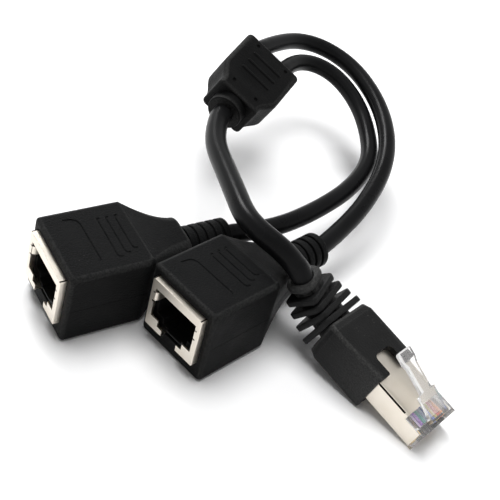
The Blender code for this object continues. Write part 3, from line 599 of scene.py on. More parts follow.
# %% Conductor colours
CONDUCTOR_COLOURS = (
    ("orange", (0.90, 0.26, 0.03), (0.92, 0.42, 0.12)),
    ("red", (0.78, 0.05, 0.04), (0.82, 0.14, 0.10)),
    ("yellow", (0.88, 0.60, 0.04), (0.92, 0.72, 0.20)),
    ("blue", (0.03, 0.12, 0.60), (0.06, 0.20, 0.66)),
    ("pale_blue", (0.30, 0.42, 0.72), (0.50, 0.60, 0.82)),
    ("teal", (0.01, 0.44, 0.36), (0.04, 0.54, 0.46)),
    ("purple", (0.24, 0.04, 0.56), (0.32, 0.08, 0.64)),
    ("lilac", (0.52, 0.34, 0.72), (0.68, 0.54, 0.84)),
)
CONDUCTORS = []
for label, colour, other in CONDUCTOR_COLOURS:
    made, tree, shader = principled("conductor_" + label, colour, 0.35, specular=0.4)
    texture = use_group(tree, GRAIN, Grain_Scale=1500.0, Cloud_Scale=420.0)
    tree.links.new(blend_colour(tree, texture.outputs["Cloud"], colour, other),
                   shader.inputs["Base Color"])
    bump(tree, shader, texture.outputs["Height"], 0.000008)
    CONDUCTORS.append(made)
print("conductor finishes:", len(CONDUCTORS))

# %% [markdown]
# ## The three cables
#
# The real cables are short and springy. They leave every moulding straight, and arch between the
# block and the sockets without a kink. Each route repeats the points that the model's own cable
# follows. The curve through them is a cubic that takes the distance between points into account,
# so it doesn't loop where two points lie close.

# %% Cable routes
TRUNK_D, BRANCH_D = 5.4, 4.7
TRUNK_ROUTE = (
    (5.9, 15.3, 23.1), (-0.1, 12.7, 25.4), (-6.6, 13.2, 25.4), (-14.0, 17.2, 24.8),
    (-25.1, 23.7, 23.5), (-34.9, 29.9, 22.2),
)
NEAR_ROUTE = (
    (-58.6, 76.4, 26.6), (-58.7, 84.0, 25.2), (-55.6, 90.4, 23.8), (-49.2, 93.4, 22.7),
    (-41.4, 93.2, 21.9), (-28.4, 88.4, 20.3), (-16.6, 79.5, 18.4), (-9.3, 69.7, 16.2),
    (-3.5, 55.4, 13.7), (-1.2, 44.7, 12.1),
)
LEFT_ROUTE = (
    (-52.0, 77.0, 23.6), (-50.8, 82.6, 22.6), (-47.4, 86.4, 21.3), (-41.6, 87.6, 19.8),
    (-32.3, 85.6, 17.5), (-21.1, 78.3, 15.1), (-15.9, 72.4, 14.1), (-11.6, 60.8, 13.0),
    (-10.0, 47.1, 12.5), (-10.2, 35.7, 12.2), (-11.4, 28.4, 12.1),
)
print("route points:", len(TRUNK_ROUTE), len(NEAR_ROUTE), len(LEFT_ROUTE))

# %% [markdown]
# ### Where the cables end
#
# The trunk starts at the end of the boot's relief, which bends on an arc, so the arc comes
# first. A frame anywhere on it is a step back along the arc and the same turn about the bend's
# hinge. Every cable leaves its moulding straight, so two points on each exit's own line, a
# little way out of the face, are added to the points of the route.

# %% Exits of the cables
BEND_R, BEND_TOWARDS = 15.2, math.radians(28.0)
FINS, FIN_LEAD, FIN_PITCH, FIN_T = 5, 0.7, 2.7, 1.2
BEND_SIDE = Vector((math.sin(BEND_TOWARDS), 0.0, math.cos(BEND_TOWARDS)))
BEND_HINGE = BEND_SIDE.cross(Vector((0.0, 1.0, 0.0))).normalized()


def on_bend(travel):
    """The frame of the boot's bent relief at a distance behind the boot's block."""
    angle = travel / BEND_R
    spot = (Vector((0.0, -BOOT_L - BEND_R * math.sin(angle), 0.0))
            + BEND_SIDE * BEND_R * (1 - math.cos(angle)))
    return Matrix.Translation(spot) @ Matrix.Rotation(angle, 4, BEND_HINGE)


GAP, STRAIGHT_RUN = 0.3, 2.4


def leave_face(place, point, direction):
    """The two points at which a cable leaves a moulding, straight out of its face."""
    out = Vector(direction).normalized()
    return [place @ (Vector(point) + out * distance) for distance in (GAP, STRAIGHT_RUN)]


relief_travel = FIN_LEAD + FIN_PITCH * (FINS - 1) + FIN_T
boot_end = on_bend(relief_travel)
boot_back = boot_end.to_3x3() @ Vector((0.0, -1.0, 0.0))
SHELL_MIDDLE_Z, FLARE_L, NECK_ROUND, RELIEF_L = 11.4, 12.2, 1.2, 12.0
BLOCK_L, BOSS_L, BRANCH_SPREAD, COLLAR_L = 21.4, 3.0, 8.8, 0.8
socket_end = HOUSING_L + FLARE_L + NECK_ROUND + RELIEF_L
trunk_line = (leave_face(PLUG, boot_end.translation, boot_back) + [Vector(p) for p in TRUNK_ROUTE]
              + leave_face(BLOCK, (0.0, -BLOCK_L / 2 - BOSS_L, 0.0), (0.0, -1.0, 0.0))[::-1])
branch_lines = []
for side, route, place in ((-1, NEAR_ROUTE, NEAR), (1, LEFT_ROUTE, LEFT)):
    at_block = (side * BRANCH_SPREAD / 2, BLOCK_L / 2 + COLLAR_L, 0.0)
    branch_lines.append(
        leave_face(BLOCK, at_block, (0.0, 1.0, 0.0)) + [Vector(p) for p in route]
        + leave_face(place, (0.0, socket_end, SHELL_MIDDLE_Z), (0.0, 1.0, 0.0))[::-1])
print("points with exits:", len(trunk_line), [len(line) for line in branch_lines])

# %% The curve through the points
CORD_STEP, SETTLE_REACH = 0.6, 8


def curve_through(points, spacing):
    """Points about one spacing apart on a smooth curve, straight in its first and last stretch."""
    route = [Vector(point) for point in points]
    dense = []
    for before, start, end, after in zip(route, route[1:], route[2:], route[3:]):
        k1, k2, k3 = (math.sqrt((b - a).length) for a, b in
                      ((before, start), (start, end), (end, after)))
        leaves = (start - before) / k1 - (end - before) / (k1 + k2) + (end - start) / k2
        reaches = (end - start) / k2 - (after - start) / (k2 + k3) + (after - end) / k3
        for step in range(20):
            t = step / 20
            dense.append((2 * t**3 - 3 * t**2 + 1) * start + (t**3 - 2 * t**2 + t) * k2 * leaves
                         + (3 * t**2 - 2 * t**3) * end + (t**3 - t**2) * k2 * reaches)
    dense.append(route[-2])
    travel = [0.0]
    for first, second in zip(dense, dense[1:]):
        travel.append(travel[-1] + (second - first).length)
    count = round(travel[-1] / spacing)
    even, at = [route[0]], 0
    for i in range(count + 1):
        want = travel[-1] * i / count
        while at < len(dense) - 2 and travel[at + 1] < want:
            at += 1
        share = (want - travel[at]) / (travel[at + 1] - travel[at])
        even.append(dense[at].lerp(dense[at + 1], min(1.0, share)))
    return [*even, route[-1]]


def settled(points, reach):
    """Evens out the last unsteadiness of a curve by less than half a millimetre, ends held."""
    calm = []
    for i in range(len(points)):
        near_by = min(reach, i, len(points) - 1 - i)
        window = points[i - near_by:i + near_by + 1]
        calm.append(sum(window, Vector()) / len(window))
    return calm


print("curve step in mm:", CORD_STEP)

# %% [markdown]
# ### The jackets as meshes
#
# The tube is skinned round the curve with frames carried along it, each turned only as much as
# the curve turns, so the map doesn't twist. A bevelled curve object could make the tube too,
# but not a map measured in lengths along the cable.

# %% Cable jackets
SEATED_IN = 0.5


def jacket(name, points, diameter, around=40):
    """A round cable skinned along a curve, with a map of the way round and the length."""
    bm = bmesh.new()
    layer = bm.loops.layers.uv.new("around_and_along")
    normal = None
    rows, lengths, travelled = [], [], 0.0
    for i, point in enumerate(points):
        ahead = (points[min(i + 1, len(points) - 1)] - points[max(i - 1, 0)]).normalized()
        if normal is None:
            normal = ahead.orthogonal().normalized()
        normal = (normal - ahead * normal.dot(ahead)).normalized()
        side = ahead.cross(normal)
        rows.append([bm.verts.new(point + (normal * math.cos(a) + side * math.sin(a))
                                  * diameter / 2)
                     for a in (2 * math.pi * k / around for k in range(around))])
        travelled += (point - points[i - 1]).length if i else 0.0
        lengths.append(travelled / diameter)
    for i in range(len(rows) - 1):
        for k in range(around):
            j = (k + 1) % around
            face = bm.faces.new((rows[i][k], rows[i][j], rows[i + 1][j], rows[i + 1][k]))
            for loop, (u, v) in zip(face.loops, (
                    (k, i), (k + 1, i), (k + 1, i + 1), (k, i + 1))):
                loop[layer].uv = (u / around, lengths[v])
    bm.faces.new(rows[0])
    bm.faces.new(list(reversed(rows[-1])))
    return set_down(name, bm, Matrix.Identity(4), CABLE_JACKET)


def lay_cable(name, line, diameter, node):
    centre = settled(curve_through(line, CORD_STEP), SETTLE_REACH)
    first, last = (centre[1] - centre[0]).normalized(), (centre[-1] - centre[-2]).normalized()
    seated = [centre[0] - first * SEATED_IN, *centre, centre[-1] + last * SEATED_IN]
    piece = jacket(name, seated, diameter)
    smooth(piece.data)
    dress(piece, "lead", "cable_pvc", node)
    return piece


lay_cable("trunk_jacket", trunk_line, TRUNK_D, "trunk_cable")
lay_cable("near_branch_jacket", branch_lines[0], BRANCH_D, "near_branch_cable")
lay_cable("left_branch_jacket", branch_lines[1], BRANCH_D, "left_branch_cable")

# %% [markdown]
# ## Trees that repeat a part
#
# The sockets have eight spring wires each, the plug has eight blades, the reliefs have rings and
# the boot has fins. Each of those is one shape and a rule, which is what Geometry Nodes are for.
# Every tree has named inputs for its sizes, ends by making its copies real and giving them their
# finish, and is baked to a plain mesh before anything else touches it.

# %% Building a tree
def new_tree(name, inputs):
    """A geometry tree with a geometry input, named inputs and a geometry output."""
    tree = bpy.data.node_groups.new(name, "GeometryNodeTree")
    tree.interface.new_socket("Geometry", in_out="INPUT", socket_type="NodeSocketGeometry")
    for label, kind in inputs:
        tree.interface.new_socket(label, in_out="INPUT", socket_type="NodeSocket" + kind)
    tree.interface.new_socket("Geometry", in_out="OUTPUT", socket_type="NodeSocketGeometry")
    return tree, tree.nodes.new("NodeGroupInput"), tree.nodes.new("NodeGroupOutput")


def step_of(tree, kind, **sources):
    """A node of one kind, its named inputs linked or set."""
    node = tree.nodes.new(kind)
    for label, source in sources.items():
        socket = node.inputs[label.replace("_", " ")]
        if isinstance(source, bpy.types.NodeSocket):
            tree.links.new(source, socket)
        else:
            socket.default_value = source
    return node


def end_tree(tree, leave, copies, finish):
    """Realizes the copies, smooths them and gives them their finish."""
    real = step_of(tree, "GeometryNodeRealizeInstances", Geometry=copies)
    soft = step_of(tree, "GeometryNodeSetShadeSmooth", Geometry=real.outputs[0])
    soft.inputs["Shade Smooth"].default_value = True
    done = step_of(tree, "GeometryNodeSetMaterial", Geometry=soft.outputs[0], Material=finish)
    tree.links.new(done.outputs[0], leave.inputs["Geometry"])


print("every tree ends in Realize Instances and Set Material")

# %% Baking a tree
SAME_POINT = 0.0005


def grow(name, tree, start, place, **values):
    """Runs a tree on a starting bmesh, in millimetres, and leaves a plain mesh in its place."""
    mesh = bpy.data.meshes.new(name)
    start.to_mesh(mesh)
    start.free()
    made = bpy.data.objects.new(name, mesh)
    bpy.context.scene.collection.objects.link(made)
    step = made.modifiers.new("grow", "NODES")
    step.node_group = tree
    sockets = {s.name: s.identifier for s in tree.interface.items_tree if s.in_out == "INPUT"}
    for label, value in values.items():
        step[sockets[label.replace("_", " ")]] = value
    graph = bpy.context.evaluated_depsgraph_get()
    made.data = bpy.data.meshes.new_from_object(made.evaluated_get(graph))
    made.modifiers.clear()
    bm = bmesh.new()
    bm.from_mesh(made.data)
    bmesh.ops.remove_doubles(bm, verts=bm.verts, dist=SAME_POINT)
    bmesh.ops.recalc_face_normals(bm, faces=bm.faces)
    bm.to_mesh(made.data)
    bm.free()
    made.data.transform(Matrix.Scale(MM, 4) @ place)
    smooth(made.data)
    return made


print("points closer than", SAME_POINT, "mm are merged when a tree is baked")

# %% [markdown]
# ### A row of bent wires
#
# The spring contacts and the conductors are round wire, and so are the tools that engrave the
# sockets. The tree takes a line of bare edges, rounds its corners, sweeps a circle along it, and
# repeats the wire at a fixed step.

# %% Tree: a row of bent round wires
WIRE_ROW, entry, leave = new_tree("row_of_bent_wires", (
    ("Count", "Int"), ("Step", "Vector"), ("Wire Radius", "Float"), ("Bend Radius", "Float"),
    ("Finish", "Material")))
line = step_of(WIRE_ROW, "GeometryNodeMeshToCurve", Mesh=entry.outputs["Geometry"])
bend = WIRE_ROW.nodes.new("GeometryNodeFilletCurve")
bend.mode = "POLY"
bend.inputs["Count"].default_value = 6
bend.inputs["Limit Radius"].default_value = True
WIRE_ROW.links.new(line.outputs[0], bend.inputs["Curve"])
WIRE_ROW.links.new(entry.outputs["Bend Radius"], bend.inputs["Radius"])
section = step_of(WIRE_ROW, "GeometryNodeCurvePrimitiveCircle", Resolution=14,
                  Radius=entry.outputs["Wire Radius"])
wire = step_of(WIRE_ROW, "GeometryNodeCurveToMesh", Curve=bend.outputs[0],
               Profile_Curve=section.outputs[0], Fill_Caps=True)
spots = step_of(WIRE_ROW, "GeometryNodeMeshLine", Count=entry.outputs["Count"],
                Offset=entry.outputs["Step"])
copies = step_of(WIRE_ROW, "GeometryNodeInstanceOnPoints", Points=spots.outputs[0],
                 Instance=wire.outputs[0])
end_tree(WIRE_ROW, leave, copies.outputs[0], entry.outputs["Finish"])
print(WIRE_ROW.name, "nodes:", len(WIRE_ROW.nodes))

# %% [markdown]
# ### A row of copies
#
# The rings of a relief, the blades and the block's ridges are one modelled shape each, repeated
# at a pitch. This tree only lays copies of what it is given along a straight line.

# %% Tree: a row of copies of one shape
COPY_ROW, entry, leave = new_tree("row_of_copies", (
    ("Count", "Int"), ("Step", "Vector"), ("Finish", "Material")))
spots = step_of(COPY_ROW, "GeometryNodeMeshLine", Count=entry.outputs["Count"],
                Offset=entry.outputs["Step"])
copies = step_of(COPY_ROW, "GeometryNodeInstanceOnPoints", Points=spots.outputs[0],
                 Instance=entry.outputs["Geometry"])
end_tree(COPY_ROW, leave, copies.outputs[0], entry.outputs["Finish"])
print(COPY_ROW.name, "nodes:", len(COPY_ROW.nodes))

# %% [markdown]
# ### Fins on a bend
#
# The boot's relief bends as it leaves the block, and its fins shrink towards the cable. The tree
# numbers its points from zero, turns each number into a distance along the bend, and from that
# gets the fin's place, its turn about the bend's hinge, and its size.

# %% Tree: places along a bend
FIN_BEND, entry, leave = new_tree("fins_along_bend", (
    ("Fins", "Int"), ("Bend Radius", "Float"), ("First", "Float"), ("Pitch", "Float"),
    ("Side", "Vector"), ("Hinge", "Vector"), ("Last Width", "Float"), ("Last Height", "Float"),
    ("Finish", "Material")))


def maths(operation, first, second=0.0):
    return math_of(FIN_BEND, operation, first, second)


number = FIN_BEND.nodes.new("GeometryNodeInputIndex").outputs[0]
travel = maths("ADD", maths("MULTIPLY", number, entry.outputs["Pitch"]), entry.outputs["First"])
angle = maths("DIVIDE", travel, entry.outputs["Bend Radius"])
backwards = maths("MULTIPLY", maths("SINE", angle),
                  maths("MULTIPLY", entry.outputs["Bend Radius"], -1.0))
sideways = maths("MULTIPLY", maths("SUBTRACT", 1.0, maths("COSINE", angle)),
                 entry.outputs["Bend Radius"])
back_vector = step_of(FIN_BEND, "ShaderNodeCombineXYZ", Y=backwards)
side_vector = FIN_BEND.nodes.new("ShaderNodeVectorMath")
side_vector.operation = "SCALE"
FIN_BEND.links.new(entry.outputs["Side"], side_vector.inputs[0])
FIN_BEND.links.new(sideways, side_vector.inputs["Scale"])
total = FIN_BEND.nodes.new("ShaderNodeVectorMath")
total.operation = "ADD"
FIN_BEND.links.new(back_vector.outputs[0], total.inputs[0])
FIN_BEND.links.new(side_vector.outputs[0], total.inputs[1])
print(FIN_BEND.name, "nodes that find the place:", len(FIN_BEND.nodes))

# %% Tree: sizes and copies along the bend
share = maths("DIVIDE", number, maths("SUBTRACT", entry.outputs["Fins"], 1.0))
narrowing = maths("SUBTRACT", entry.outputs["Last Width"], 1.0)
lowering = maths("SUBTRACT", entry.outputs["Last Height"], 1.0)
wide = maths("ADD", 1.0, maths("MULTIPLY", share, narrowing))
high = maths("ADD", 1.0, maths("MULTIPLY", share, lowering))
size = step_of(FIN_BEND, "ShaderNodeCombineXYZ", X=wide, Y=1.0, Z=high)
turn = step_of(FIN_BEND, "FunctionNodeAxisAngleToRotation", Axis=entry.outputs["Hinge"],
               Angle=angle)
spots = step_of(FIN_BEND, "GeometryNodeMeshLine", Count=entry.outputs["Fins"])
spots.inputs["Offset"].default_value = (0.0, 0.0, 0.0)
placed = step_of(FIN_BEND, "GeometryNodeSetPosition", Geometry=spots.outputs[0],
                 Position=total.outputs[0])
copies = step_of(FIN_BEND, "GeometryNodeInstanceOnPoints", Points=placed.outputs[0],
                 Instance=entry.outputs["Geometry"], Rotation=turn.outputs[0],
                 Scale=size.outputs[0])
end_tree(FIN_BEND, leave, copies.outputs[0], entry.outputs["Finish"])
print(FIN_BEND.name, "nodes:", len(FIN_BEND.nodes))

# %% [markdown]
# ## The sockets
#
# Each socket is a folded metal shell round a black plastic insert, with vinyl moulded over it.
# The overmould is one skin: a box with rounded edges, a flare that draws in like a funnel, a
# short neck, and then the ringed relief. A loft gives all of that in one mesh, and the flat
# sides are divided, so that the flare bends evenly.

# %% Sections of the overmould
SHELL_W, SHELL_H, SHELL_WALL, SHELL_PROUD, SHELL_DEPTH = 16.0, 13.8, 0.4, 1.5, 12.0
NECK_W, NECK_H, NECK_CORNER, FLARE_POWER = 12.0, 11.2, 3.0, 1.55
FLATS = 16


def overmould_rings():
    """Sections of the overmould from its face to the end of its neck."""
    rings = []
    for step in range(7):
        angle = math.radians(15.0 * step)
        inset = HOUSING_EDGE * (1 - math.sin(angle))
        rings.append(ring_of(along(HOUSING_EDGE * (1 - math.cos(angle)), HOUSING_H / 2),
                             HOUSING_W / 2 - inset, HOUSING_H / 2 - inset,
                             max(0.4, HOUSING_CORNER - inset), flats=FLATS))
    for step in range(1, 18):
        rings.append(ring_of(along(HOUSING_EDGE + (HOUSING_L - HOUSING_EDGE) * step / 18,
                                   HOUSING_H / 2), HOUSING_W / 2, HOUSING_H / 2,
                             HOUSING_CORNER, flats=FLATS))
    for step in range(25):
        share = step / 24
        drawn = 1 - (1 - share) ** FLARE_POWER
        rings.append(ring_of(
            along(HOUSING_L + FLARE_L * share,
                  HOUSING_H / 2 + (SHELL_MIDDLE_Z - HOUSING_H / 2) * drawn),
            HOUSING_W / 2 + (NECK_W - HOUSING_W) / 2 * drawn,
            HOUSING_H / 2 + (NECK_H - HOUSING_H) / 2 * drawn,
            HOUSING_CORNER + (NECK_CORNER - HOUSING_CORNER) * drawn, flats=FLATS))
    for step in range(1, 7):
        angle = math.radians(15.0 * step)
        inset = NECK_ROUND * (1 - math.cos(angle))
        rings.append(ring_of(along(HOUSING_L + FLARE_L + NECK_ROUND * math.sin(angle),
                                   SHELL_MIDDLE_Z),
                             NECK_W / 2 - inset, NECK_H / 2 - inset, NECK_CORNER, flats=FLATS))
    return rings


print("overmould sections:", len(overmould_rings()))

# %% [markdown]
# ### Engraved lines
#
# One bent line and three short hooked strokes are engraved in the top of each socket, and a hair
# line along each side shows where the two halves of the mould met. A bump would vanish at a low
# angle, so the lines are real: a fine round wire is bent along each, laid half into the surface,
# and cut away.

# %% Lines to engrave
GROOVE_R, GROOVE_DEPTH, GROOVE_BEND = 0.22, 0.24, 0.5
PARTING_Z, PARTING_R, PARTING_RISE = 9.9, 0.08, 0.8


def top_strokes():
    """The engraved lines on top: one bent line and three short strokes with hooked ends."""
    strokes = [((-7.0, 5.0), (-6.8, 6.8), (-6.2, 7.9), (-5.2, 8.3), (5.9, 8.4), (6.4, 8.0))]
    for y, reach in ((12.5, 5.6), (14.6, 4.9), (16.7, 4.1)):
        strokes.append(((-5.6, y + 0.7), (-5.4, y), (reach, y - 0.1), (reach + 0.7, y + 0.3),
                        (reach + 0.8, y + 1.1)))
    return strokes


def path_of(*strokes):
    """A bmesh of bare edges along lines of points."""
    bm = bmesh.new()
    for stroke in strokes:
        points = [bm.verts.new(point) for point in stroke]
        for first, second in zip(points, points[1:]):
            bm.edges.new((first, second))
    return bm


def parting_path(side):
    """The line along a side where the two halves of the mould met."""
    path = [(side * HOUSING_W / 2, HOUSING_EDGE + 0.2, PARTING_Z)]
    for step in range(10):
        share = step / 10
        drawn = 1 - (1 - share) ** FLARE_POWER
        path.append((side * (HOUSING_W / 2 + (NECK_W - HOUSING_W) / 2 * drawn),
                     HOUSING_L + FLARE_L * share, PARTING_Z + PARTING_RISE * drawn))
    return path


print("engraved lines on a socket:", len(top_strokes()) + 2)

# %% Socket overmoulds
POCKET_CLEAR = 0.08


def overmould(label, place):
    """The vinyl body of a socket, hollowed for its shell and engraved on top."""
    low_z, high_z = SHELL_MIDDLE_Z - SHELL_H / 2, SHELL_MIDDLE_Z + SHELL_H / 2
    body = set_down(label + "_overmould", loft_of(overmould_rings()), place, MOULDED_VINYL)
    pocket = set_down("pocket", box_of(
        (-SHELL_W / 2 - POCKET_CLEAR, -1.0, low_z - POCKET_CLEAR),
        (SHELL_W / 2 + POCKET_CLEAR, SHELL_DEPTH + GAP, high_z + POCKET_CLEAR)),
        place, MOULDED_VINYL)
    paths = [(GROOVE_R, [(x, y, HOUSING_H + GROOVE_R - GROOVE_DEPTH) for x, y in stroke])
             for stroke in top_strokes()]
    paths += [(PARTING_R, parting_path(side)) for side in (-1, 1)]
    engraved = [grow("engraving", WIRE_ROW, path_of(path), place, Count=1, Step=(0.0, 0.0, 0.0),
                     Wire_Radius=radius, Bend_Radius=GROOVE_BEND, Finish=MOULDED_VINYL)
                for radius, path in paths]
    return finish_piece(body, cuts=(pocket, *engraved))


for label, place in (("near", NEAR), ("left", LEFT)):
    dress(overmould(label, place), "lead", "black_pvc", label + "_housing")

# %% [markdown]
# ### The ringed relief
#
# Behind the neck the vinyl is cut into rings, so that the cable can bend a little without
# breaking at the moulding. One ring with its groove is turned like a lathe part, and the row
# tree repeats it five times.

# %% Ringed strain reliefs
RELIEF_R, RELIEF_RINGS, RING_GROOVE, RING_GROOVE_DEPTH, RING_ROUND = 4.4, 5, 0.7, 0.55, 0.22


def turned(profile, around=48):
    """A closed shape turned about the Y axis from (y, radius) pairs."""
    return loft_of([[Vector((r * math.cos(a), y, r * math.sin(a)))
                     for a in (2 * math.pi * k / around for k in range(around))]
                    for y, r in profile])


def ring_profile():
    """One ring with its groove in front of it, and rounded shoulders."""
    pitch, low = RELIEF_L / RELIEF_RINGS, RELIEF_R - RING_GROOVE_DEPTH
    rows = [(-0.05, low), (RING_GROOVE, low)]
    for step in range(5):
        angle = math.radians(22.5 * step)
        rows.append((RING_GROOVE + RING_ROUND * (1 - math.cos(angle)),
                     RELIEF_R - RING_ROUND * (1 - math.sin(angle))))
    for step in range(5):
        angle = math.radians(22.5 * step)
        rows.append((pitch - RING_ROUND * (1 - math.sin(angle)),
                     RELIEF_R - RING_ROUND * (1 - math.cos(angle))))
    return rows


for label, place in (("near", NEAR), ("left", LEFT)):
    start = HOUSING_L + FLARE_L + NECK_ROUND
    rings = grow(label + "_relief_rings", COPY_ROW, turned(ring_profile()),
                 place @ along(start, SHELL_MIDDLE_Z), Count=RELIEF_RINGS,
                 Step=(0.0, RELIEF_L / RELIEF_RINGS, 0.0), Finish=MOULDED_VINYL)
    dress(rings, "lead", "black_pvc")

# %% [markdown]
# ### The folded metal shell
#
# The shell is 0.4 mm sheet, folded round the insert, with a window cut in its face. The window
# has two steps below it, for a plug's latch, and the slot runs out through the lower edge. On
# each side a spring tab is bent in between two short slits; it touches the plug's shield. The
# fold leaves a fine seam along the two upper corners.

# %% Window and spring tabs
WINDOW_W, WINDOW_TOP, WINDOW_H = 13.2, 2.3, 8.1
STEP_W, STEP_H, SLOT_W = 8.2, 1.7, 5.0
TAB_Z, TAB_H, TAB_REACH, TAB_LENGTH, TAB_WALL, TAB_CLEAR = 4.9, 2.6, 0.6, 4.2, 0.3, 0.12


def window_outline():
    """The opening in the metal face: window, step, and the slot that runs out below."""
    top = SHELL_MIDDLE_Z + SHELL_H / 2 - WINDOW_TOP
    sill = top - WINDOW_H
    step = sill - STEP_H
    below = SHELL_MIDDLE_Z - SHELL_H / 2 - 1.0
    right_side = [(WINDOW_W / 2, top), (WINDOW_W / 2, sill), (STEP_W / 2, sill),
                  (STEP_W / 2, step), (SLOT_W / 2, step), (SLOT_W / 2, below)]
    return right_side + [(-x, z) for x, z in reversed(right_side)]


def spring_tab(side):
    """One tab, bent in from the side of the window and then straight back."""
    front = -SHELL_PROUD
    edge, inside = WINDOW_W / 2, WINDOW_W / 2 - TAB_REACH
    bends = []
    for step in range(6):
        angle = math.radians(18.0 * step)
        bends.append((inside + TAB_REACH * 1.4 * (1 - math.sin(angle)),
                      front + 0.1 + 1.6 * (1 - math.cos(angle))))
    outline = bends + [(inside, front + TAB_LENGTH), (inside + TAB_WALL, front + TAB_LENGTH)]
    outline += [(x + TAB_WALL, y + 0.05) for x, y in reversed(bends)]
    top = SHELL_MIDDLE_Z + SHELL_H / 2 - TAB_Z + TAB_H / 2 - TAB_CLEAR
    outline = [(side * min(x, edge + 0.6), y) for x, y in outline]
    return prism_of(outline, top, top - TAB_H + 2 * TAB_CLEAR, "Z")


print("window outline points:", len(window_outline()))

# %% Socket shells
FACE_EDGE, FACE_CORNER, SLOT_RUN = 0.16, 0.4, 4.0
SLIT_PAST, SLIT_L, SLIT_DEPTH, SLIT_HALF = 0.55, 1.2, 0.9, 0.19
SEAM_IN, SEAM_HALF, SEAM_DEPTH, SEAM_SHORT = 7.66, 0.15, 0.17, 0.5


def metal_shell(label, place):
    """The folded shell of a socket, with its window, slits, seams and spring tabs."""
    front, low_z, high_z = -SHELL_PROUD, SHELL_MIDDLE_Z - SHELL_H / 2, SHELL_MIDDLE_Z + SHELL_H / 2
    rings = []
    for step in range(5):
        angle = math.radians(22.5 * step)
        inset = FACE_EDGE * (1 - math.sin(angle))
        rings.append(ring_of(along(front + FACE_EDGE * (1 - math.cos(angle)), SHELL_MIDDLE_Z),
                             SHELL_W / 2 - inset, SHELL_H / 2 - inset,
                             FACE_CORNER - inset * 0.5, 6))
    rings.append(ring_of(along(SHELL_DEPTH, SHELL_MIDDLE_Z), SHELL_W / 2, SHELL_H / 2,
                         FACE_CORNER, 6))
    shell = set_down(label + "_metal_shell", loft_of(rings), place, NICKEL_PLATE)
    inner_w, inner_h = SHELL_W / 2 - SHELL_WALL, SHELL_H / 2 - SHELL_WALL
    cuts = [
        set_down("hollow", loft_of([
            ring_of(along(front + SHELL_WALL, SHELL_MIDDLE_Z), inner_w, inner_h, 0.4, 4),
            ring_of(along(SHELL_DEPTH + 1.0, SHELL_MIDDLE_Z), inner_w, inner_h, 0.4, 4)]),
            place, NICKEL_PLATE),
        set_down("window", prism_of(window_outline(), front - 1.0, front + SHELL_WALL + 0.7),
                 place, NICKEL_PLATE),
        set_down("slot", box_of((-SLOT_W / 2, front - 1.0, low_z - 1.0),
                                (SLOT_W / 2, front + SLOT_RUN, low_z + 1.0)), place, NICKEL_PLATE),
    ]
    middle = high_z - TAB_Z
    for side in (-1, 1):
        for at in (middle + TAB_H / 2, middle - TAB_H / 2):
            ends = sorted((side * (WINDOW_W / 2 + SLIT_PAST),
                           side * (WINDOW_W / 2 + SLIT_PAST - SLIT_L)))
            cuts.append(set_down("slit", box_of((ends[0], front - 1.0, at - SLIT_HALF),
                                                (ends[1], front + SLIT_DEPTH, at + SLIT_HALF)),
                                 place, SEAM_SHADOW))
        cuts.append(set_down("seam", box_of(
            (side * SEAM_IN - SEAM_HALF, front - 0.2, high_z - SEAM_DEPTH),
            (side * SEAM_IN + SEAM_HALF, SHELL_DEPTH - SEAM_SHORT, high_z + 0.2)),
            place, SEAM_SHADOW))
    finish_piece(shell, cuts=cuts, soften=0.07, segments=2)
    tabs = [set_down("tab", spring_tab(side), place, NICKEL_PLATE) for side in (-1, 1)]
    return finish_piece(shell, joins=tabs)


for label, place in (("near", NEAR), ("left", LEFT)):
    dress(metal_shell(label, place), "lead", "nickel_sheet", label + "_shield")

# %% [markdown]
# ### Insert and spring contacts
#
# The insert is a solid black block with a stepped cavity that the plug slides into. Eight gold
# wires hang from its ceiling: each runs forward, turns back on itself at the mouth, and slopes
# down into the cavity. The wire tree bends one line and repeats it at the contact pitch. Fine
# comb slots in the ceiling keep the real wires apart, so they are cut too.

# %% The insert's cavity and comb
INSERT_SETBACK, INSERT_END_WALL = 1.3, 1.0
CAVITY_W, CAVITY_TOP, CAVITY_H = 12.6, 2.4, 7.9
CAVITY_STEP_W, CAVITY_STEP_H, CAVITY_SLOT_W, CAVITY_SLOT_H = 7.8, 1.7, 4.6, 0.8
CONTACTS, CONTACT_PITCH = 8, 1.02
COMB_HALF, COMB_L, COMB_DEPTH = 0.12, 6.0, 0.3
insert_front = -SHELL_PROUD + INSERT_SETBACK + SHELL_WALL
insert_back = SHELL_DEPTH - 0.2


def insert_cavity():
    """The stepped opening that takes a plug and its latch."""
    top = SHELL_MIDDLE_Z + SHELL_H / 2 - CAVITY_TOP
    sill = top - CAVITY_H
    step = sill - CAVITY_STEP_H
    floor_z = step - CAVITY_SLOT_H
    right_side = [(CAVITY_W / 2, top), (CAVITY_W / 2, sill), (CAVITY_STEP_W / 2, sill),
                  (CAVITY_STEP_W / 2, step), (CAVITY_SLOT_W / 2, step),
                  (CAVITY_SLOT_W / 2, floor_z)]
    return right_side + [(-x, z) for x, z in reversed(right_side)]


